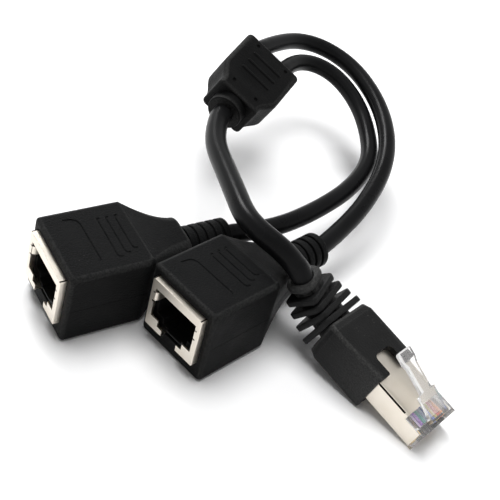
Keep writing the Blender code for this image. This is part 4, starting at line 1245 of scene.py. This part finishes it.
def plastic_insert(label, place):
    inner_w = SHELL_W / 2 - SHELL_WALL - 0.1
    inner_h = SHELL_H / 2 - SHELL_WALL - 0.1
    block = set_down(label + "_plastic_insert", box_of(
        (-inner_w, insert_front, SHELL_MIDDLE_Z - inner_h),
        (inner_w, insert_back, SHELL_MIDDLE_Z + inner_h)), place, INSERT_PLASTIC)
    cavity = set_down("cavity", prism_of(insert_cavity(), -SHELL_PROUD,
                                         insert_back - INSERT_END_WALL), place, INSERT_PLASTIC)
    cuts = [cavity]
    ceiling = SHELL_MIDDLE_Z + SHELL_H / 2 - CAVITY_TOP
    for i in range(CONTACTS + 1):
        x = (i - CONTACTS / 2) * CONTACT_PITCH
        slot = box_of((x - COMB_HALF, insert_front - 1.0, ceiling - 0.1),
                      (x + COMB_HALF, insert_front + COMB_L, ceiling + COMB_DEPTH))
        cuts.append(set_down("comb", slot, place, INSERT_PLASTIC))
    return finish_piece(block, cuts=cuts, soften=0.12, segments=2)


print("comb slots in each insert:", CONTACTS + 1)

# %% Inserts and spring contacts
SPRING_R, SPRING_BEND, SPRING_TURN = 0.2, 0.42, 0.95
SPRING_DROP, SPRING_FRONT, SPRING_TIP = 2.7, 1.2, 6.8


def spring_contacts(label, place):
    ceiling = SHELL_MIDDLE_Z + SHELL_H / 2 - CAVITY_TOP - GAP - SPRING_R
    back = insert_back - INSERT_END_WALL - GAP
    first = -(CONTACTS - 1) / 2 * CONTACT_PITCH
    line = [(first, back, ceiling), (first, SPRING_FRONT, ceiling),
            (first, SPRING_FRONT, ceiling - SPRING_TURN),
            (first, SPRING_TIP, ceiling - SPRING_DROP)]
    return grow(label + "_spring_contacts", WIRE_ROW, path_of(line), place, Count=CONTACTS,
                Step=(CONTACT_PITCH, 0.0, 0.0), Wire_Radius=SPRING_R, Bend_Radius=SPRING_BEND,
                Finish=GOLD_CONTACT)


for label, place in (("near", NEAR), ("left", LEFT)):
    dress(plastic_insert(label, place), "lead", "insert_black", label + "_insert")
    dress(spring_contacts(label, place), "lead", "gold_plate",
          *["%s_contact_%d" % (label, i + 1) for i in range(CONTACTS)])

# %% [markdown]
# ## The plug's boot
#
# The boot is a rounded block that narrows a little at its back. A notch in its top clears the
# latch's free end, and shows the metal plate under it. The block is a loft, and the pocket for
# the plug and the notch are cut out of it.

# %% Boot block
BOOT_W, BOOT_CORNER, BOOT_EDGE = 13.5, 0.85, 0.5
BOOT_TAPER_L, BOOT_TAPER, BOOT_POCKET = 2.2, 0.3, 8.0
BACK_SHRINK, BACK_RUN, BACK_CORNER = 0.25, 0.5, 1.2
NOTCH_W, NOTCH_L, NOTCH_R = 5.8, 5.3, 1.3


def notch_outline():
    """A slot with a rounded inner end, in (x, y)."""
    points = [(NOTCH_W / 2, 1.0)]
    for centre, first in ((NOTCH_W / 2 - NOTCH_R, 0.0), (NOTCH_R - NOTCH_W / 2, 90.0)):
        for step in range(7):
            angle = math.radians(-first - 15.0 * step)
            points.append((centre + NOTCH_R * math.cos(angle),
                           NOTCH_R - NOTCH_L + NOTCH_R * math.sin(angle)))
    return points + [(-NOTCH_W / 2, 1.0)]


def boot_block():
    """The boot's block from its narrowed back to its face."""
    rings = []
    for step in range(4):
        share = step / 3
        inset = BOOT_TAPER + BACK_SHRINK * (1 - share)
        rings.append(ring_of(along(-BOOT_L + BACK_RUN * share * share), BOOT_W / 2 - inset,
                             BOOT_H / 2 - inset, BACK_CORNER))
    for step in range(1, 7):
        share = step / 6
        eased = 1 - share * share * (3 - 2 * share)
        rings.append(ring_of(along(-BOOT_L + BACK_RUN + (BOOT_TAPER_L - BACK_RUN) * share),
                             BOOT_W / 2 - BOOT_TAPER * eased, BOOT_H / 2 - BOOT_TAPER * eased,
                             BOOT_CORNER + 0.2 * eased))
    for step in range(5):
        angle = math.radians(22.5 * step)
        inset = BOOT_EDGE * (1 - math.cos(angle))
        rings.append(ring_of(along(-BOOT_EDGE + BOOT_EDGE * math.sin(angle)), BOOT_W / 2 - inset,
                             BOOT_H / 2 - inset, BOOT_CORNER - inset * 0.6))
    return loft_of(rings)


boot = set_down("boot_block", boot_block(), PLUG, BOOT_VINYL)
plug_low, plug_high = PLUG_RAISE - PLUG_H / 2, PLUG_RAISE + PLUG_H / 2
pocket = set_down("pocket", box_of((-PLUG_W / 2 - 0.1, -BOOT_POCKET, plug_low - 0.1),
                                   (PLUG_W / 2 + 0.1, 1.0, plug_high + 0.1)), PLUG, BOOT_VINYL)
notch = set_down("notch", prism_of(notch_outline(), plug_high - 0.05, BOOT_H, "Z"), PLUG,
                 BOOT_VINYL)
finish_piece(boot, cuts=(pocket, notch))
dress(boot, "lead", "black_pvc", "plug_boot")

# %% [markdown]
# ### The boot's ribbed relief
#
# Behind the block a slim core bends up towards the trunk and carries fins that get smaller, then
# an end collar. Pairs of small knobs join the fins, so that the relief bends but doesn't
# stretch. The core and the collar are lofts along the bend, and the fins and knobs are copies
# that the bend tree places.

# %% Core of the relief
SLIM_FINS, SLIM_LEAD, SLIM_PITCH = 4, 1.25, 2.9
CORE_FIRST, CORE_LAST, CORE_PAST, CORE_INTO_BLOCK = 8.6, 6.6, 0.7, 0.6
core_rings = []
core_travel = SLIM_LEAD + SLIM_PITCH * SLIM_FINS + CORE_PAST
for step in range(30):
    travel = -CORE_INTO_BLOCK + (core_travel + CORE_INTO_BLOCK) * step / 29
    share = max(0.0, travel) / core_travel
    half = (CORE_FIRST + (CORE_LAST - CORE_FIRST) * share) / 2
    core_rings.append(ring_of(on_bend(travel), half, half, half - 0.3))
core = finish_piece(set_down("boot_core", loft_of(core_rings), PLUG, BOOT_VINYL))
dress(core, "lead", "black_pvc")

# %% Fins
FIN_FIRST_W, FIN_FIRST_H, FIN_LAST_W, FIN_LAST_H, FIN_CORNER = 13.0, 11.6, 9.0, 7.6, 1.4
FIN_THICK, FIN_ROUND, FIN_ROUND_MID = 1.45, 0.22, 0.07
fin_rings = []
rounding = ((0.0, FIN_ROUND), (FIN_ROUND_MID, FIN_ROUND_MID), (FIN_ROUND, 0.0))
for side in (-1, 1):
    for from_face, inset in rounding[::-side]:
        fin_rings.append(ring_of(along(side * (FIN_THICK / 2 - from_face)),
                                 FIN_FIRST_W / 2 - inset, FIN_FIRST_H / 2 - inset,
                                 FIN_CORNER - inset * 0.5))
last_fin = 1 - 1 / SLIM_FINS
fins = grow("boot_fins", FIN_BEND, loft_of(fin_rings), PLUG @ along(-BOOT_L), Fins=SLIM_FINS,
            Bend_Radius=BEND_R, First=SLIM_LEAD + FIN_THICK / 2, Pitch=SLIM_PITCH,
            Side=tuple(BEND_SIDE), Hinge=tuple(BEND_HINGE),
            Last_Width=1 - last_fin * (1 - FIN_LAST_W / FIN_FIRST_W),
            Last_Height=1 - last_fin * (1 - FIN_LAST_H / FIN_FIRST_H), Finish=BOOT_VINYL)
dress(fins, "lead", "black_pvc")

# %% End collar of the relief
COLLAR_T, COLLAR_W, COLLAR_H, COLLAR_CORNER, COLLAR_ROUND = 2.1, 8.3, 7.1, 2.6, 0.8
collar_rings = []
for step in range(9):
    angle = math.radians(22.5 * step)
    shrink = COLLAR_ROUND * (1 - math.sin(angle))
    travel = SLIM_LEAD + SLIM_PITCH * SLIM_FINS + COLLAR_T * (1 - math.cos(angle)) / 2
    collar_rings.append(ring_of(on_bend(travel), COLLAR_W / 2 - shrink, COLLAR_H / 2 - shrink,
                                COLLAR_CORNER - shrink * 0.5, flats=4))
end_collar = finish_piece(set_down("boot_end_collar", loft_of(collar_rings), PLUG, BOOT_VINYL))
dress(end_collar, "lead", "black_pvc")

# %% Knobs between the fins
KNOB_SPOTS, KNOB_W, KNOB_H, KNOB_DROP, KNOB_ROUND = (0.6, 3.1), 1.1, 1.0, 1.5, 0.3
web = bmesh.new()
for x in KNOB_SPOTS:
    knob = bmesh.ops.create_cube(web, size=1.0)["verts"]
    bmesh.ops.scale(web, vec=(KNOB_W, SLIM_PITCH, KNOB_H), verts=knob)
    bmesh.ops.translate(web, vec=(x, 0.0, FIN_FIRST_H / 2 - KNOB_DROP), verts=knob)
bmesh.ops.bevel(web, geom=list(web.edges), offset=KNOB_ROUND, segments=3, profile=0.5,
                affect="EDGES")
webs = grow("boot_webs", FIN_BEND, web, PLUG @ along(-BOOT_L), Fins=SLIM_FINS + 1,
            Bend_Radius=BEND_R, First=SLIM_LEAD - (SLIM_PITCH - FIN_THICK) / 2, Pitch=SLIM_PITCH,
            Side=tuple(BEND_SIDE), Hinge=tuple(BEND_HINGE), Last_Width=0.72,
            Last_Height=FIN_LAST_H / FIN_FIRST_H, Finish=BOOT_VINYL)
dress(webs, "lead", "black_pvc")

# %% [markdown]
# ## The plug's metal shell
#
# The shell wraps the clear body on three sides: a top plate that stops short of the nose, two
# side plates that run almost to it, and a narrow flange turned under. Where the top plate meets
# each side plate the fold leaves a dark seam, and beside it a rolled edge that catches the light.

# %% Plug shell
PLUG_WALL, PLUG_SHELL_TAIL, PLUG_FLANGE = 0.35, 6.5, 0.9
TOP_PLATE_END, SIDE_PLATE_END, BOTTOM_PLATE_END, TOP_CUT_DROP = 5.5, 1.0, 7.4, 1.4
FOLD_IN, FOLD_HALF, FOLD_DEPTH, FOLD_SHORT = 0.1, 0.17, 0.42, 0.9
BEAD_R, BEAD_PROUD, BEAD_SHORT = 0.26, 0.16, 0.1
half_w = PLUG_W / 2


def plug_box(name, low, high, finish):
    return set_down(name, box_of(low, high), PLUG, finish)


shell = set_down("plug_metal_shell", loft_of([
    ring_of(along(y, PLUG_RAISE), half_w, PLUG_H / 2, 0.45, 6)
    for y in (-PLUG_SHELL_TAIL, PLUG_L - SIDE_PLATE_END)]), PLUG, NICKEL_PLATE)
cuts = [
    plug_box("hollow", (-half_w + PLUG_WALL, -PLUG_SHELL_TAIL - 1.0, plug_low + PLUG_WALL),
             (half_w - PLUG_WALL, PLUG_L + 1.0, plug_high - PLUG_WALL), NICKEL_PLATE),
    plug_box("top_cut", (-half_w - 1.0, PLUG_L - TOP_PLATE_END, plug_high - TOP_CUT_DROP),
             (half_w + 1.0, PLUG_L + 1.0, plug_high + 1.0), NICKEL_PLATE),
    plug_box("bottom_cut", (-half_w + PLUG_FLANGE, PLUG_L - BOTTOM_PLATE_END, plug_low - 1.0),
             (half_w - PLUG_FLANGE, PLUG_L + 1.0, plug_low + 1.0), NICKEL_PLATE),
]
beads = []
for side in (-1, 1):
    seam_x = side * (half_w - FOLD_IN)
    cuts.append(plug_box("seam", (seam_x - FOLD_HALF, -1.0, plug_high - FOLD_DEPTH),
                         (seam_x + FOLD_HALF, PLUG_L - TOP_PLATE_END - FOLD_SHORT,
                          plug_high + 0.2), SEAM_SHADOW))
    bead = turned(((-1.0, BEAD_R), (PLUG_L - TOP_PLATE_END - BEAD_SHORT, BEAD_R)), 24)
    bead_at = along(0.0, plug_high + BEAD_PROUD - BEAD_R,
                    side * (half_w - FOLD_IN - FOLD_HALF - BEAD_R))
    beads.append(set_down("bead", bead, PLUG @ bead_at, NICKEL_PLATE))
finish_piece(shell, cuts=cuts, joins=beads, soften=0.11, segments=3)
dress(shell, "lead", "nickel_sheet", "plug_shield")

# %% [markdown]
# ## The clear nose and its latch
#
# On the real plug the body and the latch are one clear moulding, and the latch bends at its
# root. The model has them as two parts on a hinge. Here they are joined into one mesh again. The
# body keeps its recesses for the metal, the channel for the conductors and the slots for the
# blades.

# %% Clear body
PLUG_TAIL, RECESS_BACK, RECESS_CLEAR = 7.0, -9.0, 0.12
WIRE_R, WIRE_Z, WIRE_END, WIRE_TAIL, CHANNEL_CLEAR = 0.37, 1.3, 2.2, 6.0, 0.3
BLADE_T, BLADE_L, BLADE_H, BLADE_SLOT_W, BLADE_SETBACK = 0.3, 5.2, 2.6, 0.62, 0.5
inset = PLUG_WALL + RECESS_CLEAR
far = half_w + 1.0
body = plug_box("plug_clear_moulding", (-half_w, -PLUG_TAIL, plug_low),
                (half_w, PLUG_L, plug_high), CLEAR_PLASTIC)
side_end = PLUG_L - SIDE_PLATE_END + RECESS_CLEAR
top_end = PLUG_L - TOP_PLATE_END + RECESS_CLEAR
nose_edge = plug_high - TOP_CUT_DROP + RECESS_CLEAR
flange = half_w - PLUG_FLANGE - RECESS_CLEAR
recesses = [
    ((-far, RECESS_BACK, plug_low - 1.0), (-half_w + inset, side_end, nose_edge)),
    ((half_w - inset, RECESS_BACK, plug_low - 1.0), (far, side_end, nose_edge)),
    ((-far, RECESS_BACK, plug_high - 2.0), (-half_w + inset, top_end, plug_high + 1.0)),
    ((half_w - inset, RECESS_BACK, plug_high - 2.0), (far, top_end, plug_high + 1.0)),
    ((-far, RECESS_BACK, plug_high - inset), (far, top_end, plug_high + 1.0)),
    ((-far, RECESS_BACK, plug_low - 1.0), (-flange, side_end, plug_low + inset)),
    ((flange, RECESS_BACK, plug_low - 1.0), (far, side_end, plug_low + inset)),
    ((-far, RECESS_BACK, plug_low - 1.0),
     (far, PLUG_L - BOTTOM_PLATE_END + RECESS_CLEAR, plug_low + inset)),
]
span, clear = CONTACT_PITCH * (CONTACTS - 1) / 2, WIRE_R + CHANNEL_CLEAR
recesses.append(((-span - clear, RECESS_BACK, WIRE_Z - clear),
                 (span + clear, PLUG_L - WIRE_END + CHANNEL_CLEAR, WIRE_Z + clear)))
blade_top = WIRE_Z - clear - GAP - 0.1
blade_end = PLUG_L - BLADE_SETBACK
for i in range(CONTACTS):
    x = (i - (CONTACTS - 1) / 2) * CONTACT_PITCH
    recesses.append(((x - BLADE_SLOT_W / 2, blade_end - BLADE_L - GAP, plug_low - 1.0),
                     (x + BLADE_SLOT_W / 2, PLUG_L + 1.0, blade_top + 0.2)))
finish_piece(body, cuts=[plug_box("recess", low, high, CLEAR_PLASTIC) for low, high in recesses])
print("recesses cut in the clear body:", len(recesses))

# %% [markdown]
# ### The latch
#
# The latch is a thin springy strip that rises backwards from the nose to a thumb tip. Its lever
# is narrower than its root and has a raised rim on each side of a thin panel, which shows as two
# lines; one rim and the tip carry the whiter hazy finish, a painted highlight. Each section is
# eight points, and a table gives the width of each section by its distance from the pivot.

# %% Latch
LATCH_BACK, LATCH_R, LATCH_ROOT_W, LATCH_LEVER_W, LATCH_TIP_W = 1.6, 0.7, 5.9, 3.7, 4.7
LATCH_T, LATCH_SHOULDER, LATCH_LENGTH, LATCH_RISE, LATCH_TIP_L = 1.0, 5.6, 15.2, 5.3, 2.6
LATCH_RIMS, LATCH_PANEL, LATCH_MIDDLE = (0.85, 0.35), 0.16, 8.0
LATCH_POINTS, HIGHLIGHT_STRIPS = 8, (0, 6, 7)
ROOT_HALF_L, ROOT_CORNER = 0.7, 0.35
pivot_y, pivot_z = PLUG_L - LATCH_BACK, plug_high + GAP + LATCH_R
latch_rings = []
for back, half in ((-0.5, LATCH_ROOT_W / 2), (0.0, LATCH_ROOT_W / 2),
                   (LATCH_SHOULDER - 0.1, LATCH_ROOT_W / 2), (LATCH_SHOULDER, LATCH_LEVER_W / 2),
                   (LATCH_MIDDLE, LATCH_LEVER_W / 2),
                   (LATCH_LENGTH - LATCH_TIP_L - 1.0, LATCH_LEVER_W / 2),
                   (LATCH_LENGTH - LATCH_TIP_L - 0.3, LATCH_TIP_W / 2 - 0.2),
                   (LATCH_LENGTH - LATCH_TIP_L + 0.3, LATCH_TIP_W / 2),
                   (LATCH_LENGTH - 0.3, LATCH_TIP_W / 2), (LATCH_LENGTH, LATCH_TIP_W / 2 - 0.3)):
    share = max(0.0, back) / LATCH_LENGTH
    rise = LATCH_RISE * share ** 0.9
    thick = LATCH_T / 2 * (1.15 - 0.3 * share)
    low = LATCH_PANEL if back > LATCH_SHOULDER else 0.0
    right_rim, left_rim = half - LATCH_RIMS[0], LATCH_RIMS[1] - half
    latch_rings.append([Vector((x, pivot_y - back, pivot_z + rise + z)) for x, z in (
        (half, thick), (right_rim, thick - low), (left_rim, thick - low), (-half, thick),
        (-half, -thick), (left_rim, -thick), (right_rim, -thick), (half, -thick))])
bm = loft_of(latch_rings)
bm.faces.ensure_lookup_table()
# One rim of the lever, its side and the tip take the hazy finish, as a painted highlight.
for i, face in enumerate(bm.faces):
    span_at, strip = divmod(i, LATCH_POINTS)
    if span_at >= len(latch_rings) - 2 or (span_at > 1 and strip in HIGHLIGHT_STRIPS):
        face.material_index = 1
latch = set_down("latch", bm, PLUG, CLEAR_PLASTIC)
latch.data.materials.append(HAZY_HIGHLIGHT_PLASTIC)
upright = Matrix.Rotation(math.pi / 2, 4, "X")
root = set_down("root", loft_of([
    ring_of(along(pivot_y, z) @ upright, LATCH_ROOT_W / 2, ROOT_HALF_L, ROOT_CORNER, 3)
    for z in (plug_high - 0.5, pivot_z + 0.3)]), PLUG, CLEAR_PLASTIC)
# The softened edges of the clear moulding take the hazy finish, as a painted highlight.
body.data.materials.append(HAZY_HIGHLIGHT_PLASTIC)
finish_piece(body, joins=(root, latch), soften=0.14, segments=2, angle=30.0, edge_slot=1)
print("clear moulding faces:", len(body.data.polygons))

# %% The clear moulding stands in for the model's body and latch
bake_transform(body)
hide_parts("plug_body", "plug_latch")

# %% [markdown]
# ### Blades and conductors
#
# Eight gold blades stand in the slots under the nose, and one coloured conductor ends over each.
# The blades are one row from the copy tree. The conductors are eight pieces, because each has
# its own colour.

# %% Blades
blade = box_of((-BLADE_T / 2, blade_end - BLADE_L, blade_top - BLADE_H),
               (BLADE_T / 2, blade_end, blade_top))
bmesh.ops.bevel(blade, geom=list(blade.edges), offset=0.08, segments=2, profile=0.5,
                affect="EDGES")
blades = grow("plug_blade_row", COPY_ROW, blade, PLUG @ along(0.0, 0.0, -span), Count=CONTACTS,
              Step=(CONTACT_PITCH, 0.0, 0.0), Finish=GOLD_CONTACT)
dress(blades, "lead", "gold_plate", *["plug_blade_%d" % (i + 1) for i in range(CONTACTS)])

# %% Conductors
for i, finish in enumerate(CONDUCTORS):
    x = (i - (CONTACTS - 1) / 2) * CONTACT_PITCH
    line = path_of([(x, -WIRE_TAIL, WIRE_Z), (x, 4.0, WIRE_Z), (x, PLUG_L - WIRE_END, WIRE_Z)])
    wire = grow("plug_conductor_%d" % (i + 1), WIRE_ROW, line, PLUG, Count=1,
                Step=(0.0, 0.0, 0.0), Wire_Radius=WIRE_R, Bend_Radius=0.1, Finish=finish)
    dress(wire, "lead", "conductor_%d" % (i + 1), "plug_wire_%d" % (i + 1))

# %% [markdown]
# ## The junction block
#
# The two branches join the trunk inside a moulded block. It widens from the trunk's end to the
# branches' end in a soft shoulder, and has a round boss round the trunk and a low collar round
# each branch. The boss and collars are turned shapes joined to the lofted block. Three low ridges
# for the grip and four small dimples, left by the mould's pins, mark its top.

# %% Sections of the block
BLOCK_W, BLOCK_END_W, BLOCK_H, BLOCK_CORNER, BLOCK_EDGE = 18.4, 13.0, 10.9, 1.4, 0.5
BLOCK_NECK, BLOCK_SHOULDER = 1.6, 6.5
half_l = BLOCK_L / 2


def block_rings():
    """Sections of the block from its trunk end to its branch end."""
    rings = []
    for step in range(6):
        angle = math.radians(18.0 * step)
        inset = BLOCK_EDGE * (1 - math.sin(angle))
        rings.append(ring_of(along(-half_l + BLOCK_EDGE * (1 - math.cos(angle))),
                             BLOCK_END_W / 2 - inset, BLOCK_H / 2 - inset,
                             BLOCK_CORNER - inset * 0.8))
    for step in range(13):
        share = step / 12
        eased = share * share * (3 - 2 * share)
        rings.append(ring_of(along(-half_l + BLOCK_NECK + BLOCK_SHOULDER * share),
                             (BLOCK_END_W + (BLOCK_W - BLOCK_END_W) * eased) / 2, BLOCK_H / 2,
                             BLOCK_CORNER))
    for step in range(6):
        angle = math.radians(18.0 * step)
        inset = BLOCK_EDGE * (1 - math.cos(angle))
        rings.append(ring_of(along(half_l - BLOCK_EDGE * (1 - math.sin(angle))),
                             BLOCK_W / 2 - inset, BLOCK_H / 2 - inset, BLOCK_CORNER - inset * 0.8))
    return rings


print("block sections:", len(block_rings()))

# %% Junction block
BOSS_R, BOSS_ROUND, COLLAR_R, COLLAR_SOFT = 4.8, 0.35, 3.3, 0.2
DIMPLE_R, DIMPLE_DEPTH, DIMPLE_SPOTS = 0.6, 0.55, ((5.0, 8.6), (3.8, -7.3))


def dimple(x, y):
    bm = bmesh.new()
    bmesh.ops.create_uvsphere(bm, u_segments=24, v_segments=16, radius=DIMPLE_R)
    at = along(y, BLOCK_H / 2 + DIMPLE_R - DIMPLE_DEPTH, x)
    return set_down("dimple", bm, BLOCK @ at, BLOCK_VINYL)


block = set_down("junction_moulding", loft_of(block_rings()), BLOCK, BLOCK_VINYL)
boss_face = -half_l - BOSS_L
boss_profile = ((boss_face, BOSS_R - BOSS_ROUND), (boss_face + 0.12, BOSS_R - 0.12),
                (boss_face + BOSS_ROUND, BOSS_R), (-half_l + 0.6, BOSS_R))
joins = [set_down("boss", turned(boss_profile), BLOCK, BLOCK_VINYL)]
for side in (-1, 1):
    joins.append(set_down("collar", turned((
        (half_l - 1.0, COLLAR_R), (half_l + COLLAR_L - COLLAR_SOFT, COLLAR_R),
        (half_l + COLLAR_L - 0.06, COLLAR_R - 0.06),
        (half_l + COLLAR_L, COLLAR_R - COLLAR_SOFT))),
        BLOCK @ along(0.0, 0.0, side * BRANCH_SPREAD / 2), BLOCK_VINYL))
dimples = [dimple(side * x, y) for x, y in DIMPLE_SPOTS for side in (-1, 1)]
finish_piece(block, joins=joins, cuts=dimples)
dress(block, "lead", "black_pvc", "junction_block")

# %% Ridges of the block
RIDGES, RIDGE_PITCH, RIDGE_FIRST_Y = 3, 3.4, -1.2
RIDGE_L, RIDGE_W, RIDGE_PROUD, RIDGE_ROUND = 9.6, 0.95, 0.22, 0.24
ridge = box_of((-RIDGE_L / 2, -RIDGE_W / 2, BLOCK_H / 2 - 1.0),
               (RIDGE_L / 2, RIDGE_W / 2, BLOCK_H / 2 + RIDGE_PROUD))
bmesh.ops.bevel(ridge, geom=list(ridge.edges), offset=RIDGE_ROUND, segments=4, profile=0.5,
                affect="EDGES")
ridges = grow("junction_ridges", COPY_ROW, ridge, BLOCK @ along(RIDGE_FIRST_Y), Count=RIDGES,
              Step=(0.0, RIDGE_PITCH, 0.0), Finish=BLOCK_VINYL)
dress(ridges, "lead", "black_pvc")

# %% [markdown]
# ## Floor
#
# The lead lies on a white sweep that takes its shadow. A floor that is white under any light
# would need too much of it, so the camera, gloss and clear plastic see a paler colour than the
# one that lights the lead from below, and far from the lead it glows a little for them. That
# way the ground runs into the white surround without an edge.

# %% Floor
def light_path_sum(tree):
    """One for rays from the camera, from gloss or through clear plastic, and zero for others."""
    rays = tree.nodes.new("ShaderNodeLightPath")
    seen = math_of(tree, "MAXIMUM", rays.outputs["Is Camera Ray"], rays.outputs["Is Glossy Ray"])
    return math_of(tree, "MAXIMUM", seen, rays.outputs["Is Transmission Ray"])


FLOOR_LIT, FLOOR_SEEN = (0.86, 0.86, 0.865), (0.98, 0.98, 0.985)
GLOW_FROM, GLOW_TO, GLOW, FLOOR_SIZE, FLOOR_DROP = 0.16, 0.60, 0.62, 3000.0, 0.02
FLOOR_WHITE, tree, shader = principled("floor_white", FLOOR_LIT, 0.75, specular=0.1)
tree.links.new(blend_colour(tree, light_path_sum(tree), FLOOR_LIT, FLOOR_SEEN),
               shader.inputs["Base Color"])
far_off = tree.nodes.new("ShaderNodeVectorMath")
far_off.operation = "LENGTH"
tree.links.new(tree.nodes.new("ShaderNodeTexCoord").outputs["Object"], far_off.inputs[0])
lift = math_of(tree, "MULTIPLY", light_path_sum(tree),
               spread(tree, far_off.outputs["Value"], GLOW_FROM, GLOW_TO, 0.0, GLOW))
tree.links.new(lift, shader.inputs["Emission Strength"])
shader.inputs["Emission Color"].default_value = (1.0, 1.0, 1.0, 1.0)
bm = bmesh.new()
bmesh.ops.create_grid(bm, x_segments=1, y_segments=1, size=FLOOR_SIZE)
floor = set_down("floor", bm, along(0.0, -FLOOR_DROP), FLOOR_WHITE)
print("floor half width in mm:", FLOOR_SIZE)

# %% [markdown]
# ## Surround and lamps
#
# The surround fills the shadows softly. It shows as plain white to the camera and to rays that
# pass through the clear plastic, and gloss sees it dimmer overhead than at the horizon, as in a
# white tent with an open top. One large soft lamp hangs nearly overhead, and a small one stands
# low on the left and draws the pale line along the cables.

# %% White surround
SOFT_SKY, GLOSS_SKY, TENT_FROM, TENT_TO = 0.26, 0.56, 0.15, 0.70
world = bpy.data.worlds.new("white_surround")
bpy.context.scene.world = world
world.use_nodes = True
tree = world.node_tree
background = tree.nodes["Background"]
background.inputs["Color"].default_value = (1.0, 1.0, 1.0, 1.0)
heights = tree.nodes.new("ShaderNodeSeparateXYZ")
tree.links.new(tree.nodes.new("ShaderNodeTexCoord").outputs["Generated"], heights.inputs[0])
mirrored = spread(tree, heights.outputs["Z"], TENT_FROM, TENT_TO, 1.0, GLOSS_SKY)
rays = tree.nodes.new("ShaderNodeLightPath")
straight = math_of(tree, "MAXIMUM", rays.outputs["Is Camera Ray"],
                   rays.outputs["Is Transmission Ray"])
shine = math_of(tree, "MULTIPLY", rays.outputs["Is Glossy Ray"],
                math_of(tree, "SUBTRACT", mirrored, SOFT_SKY))
pass_on = math_of(tree, "MULTIPLY", straight, 1.0 - SOFT_SKY)
tree.links.new(math_of(tree, "ADD", math_of(tree, "MAXIMUM", shine, pass_on), SOFT_SKY),
               background.inputs["Strength"])
print("surround fills shadows at", SOFT_SKY)

# %% Lamps
def soft_light(name, place, aim, size, watts, glossy=True):
    lamp = bpy.data.lights.new(name, "AREA")
    lamp.shape, lamp.size, lamp.energy = "DISK", size, watts
    made = bpy.data.objects.new(name, lamp)
    bpy.context.scene.collection.objects.link(made)
    made.location = place
    made.rotation_euler = (Vector(aim) - Vector(place)).to_track_quat("-Z", "Y").to_euler()
    made.visible_glossy = glossy
    return made


soft_light("soft_overhead", (-0.12, 0.06, 0.85), (0.0, 0.02, 0.0), 0.58, 7.0, glossy=False)
soft_light("side_glow", (-0.52, 0.18, 0.47), (0.0, 0.03, 0.0), 0.20, 2.3)
bpy.context.scene.view_settings.view_transform = "Standard"
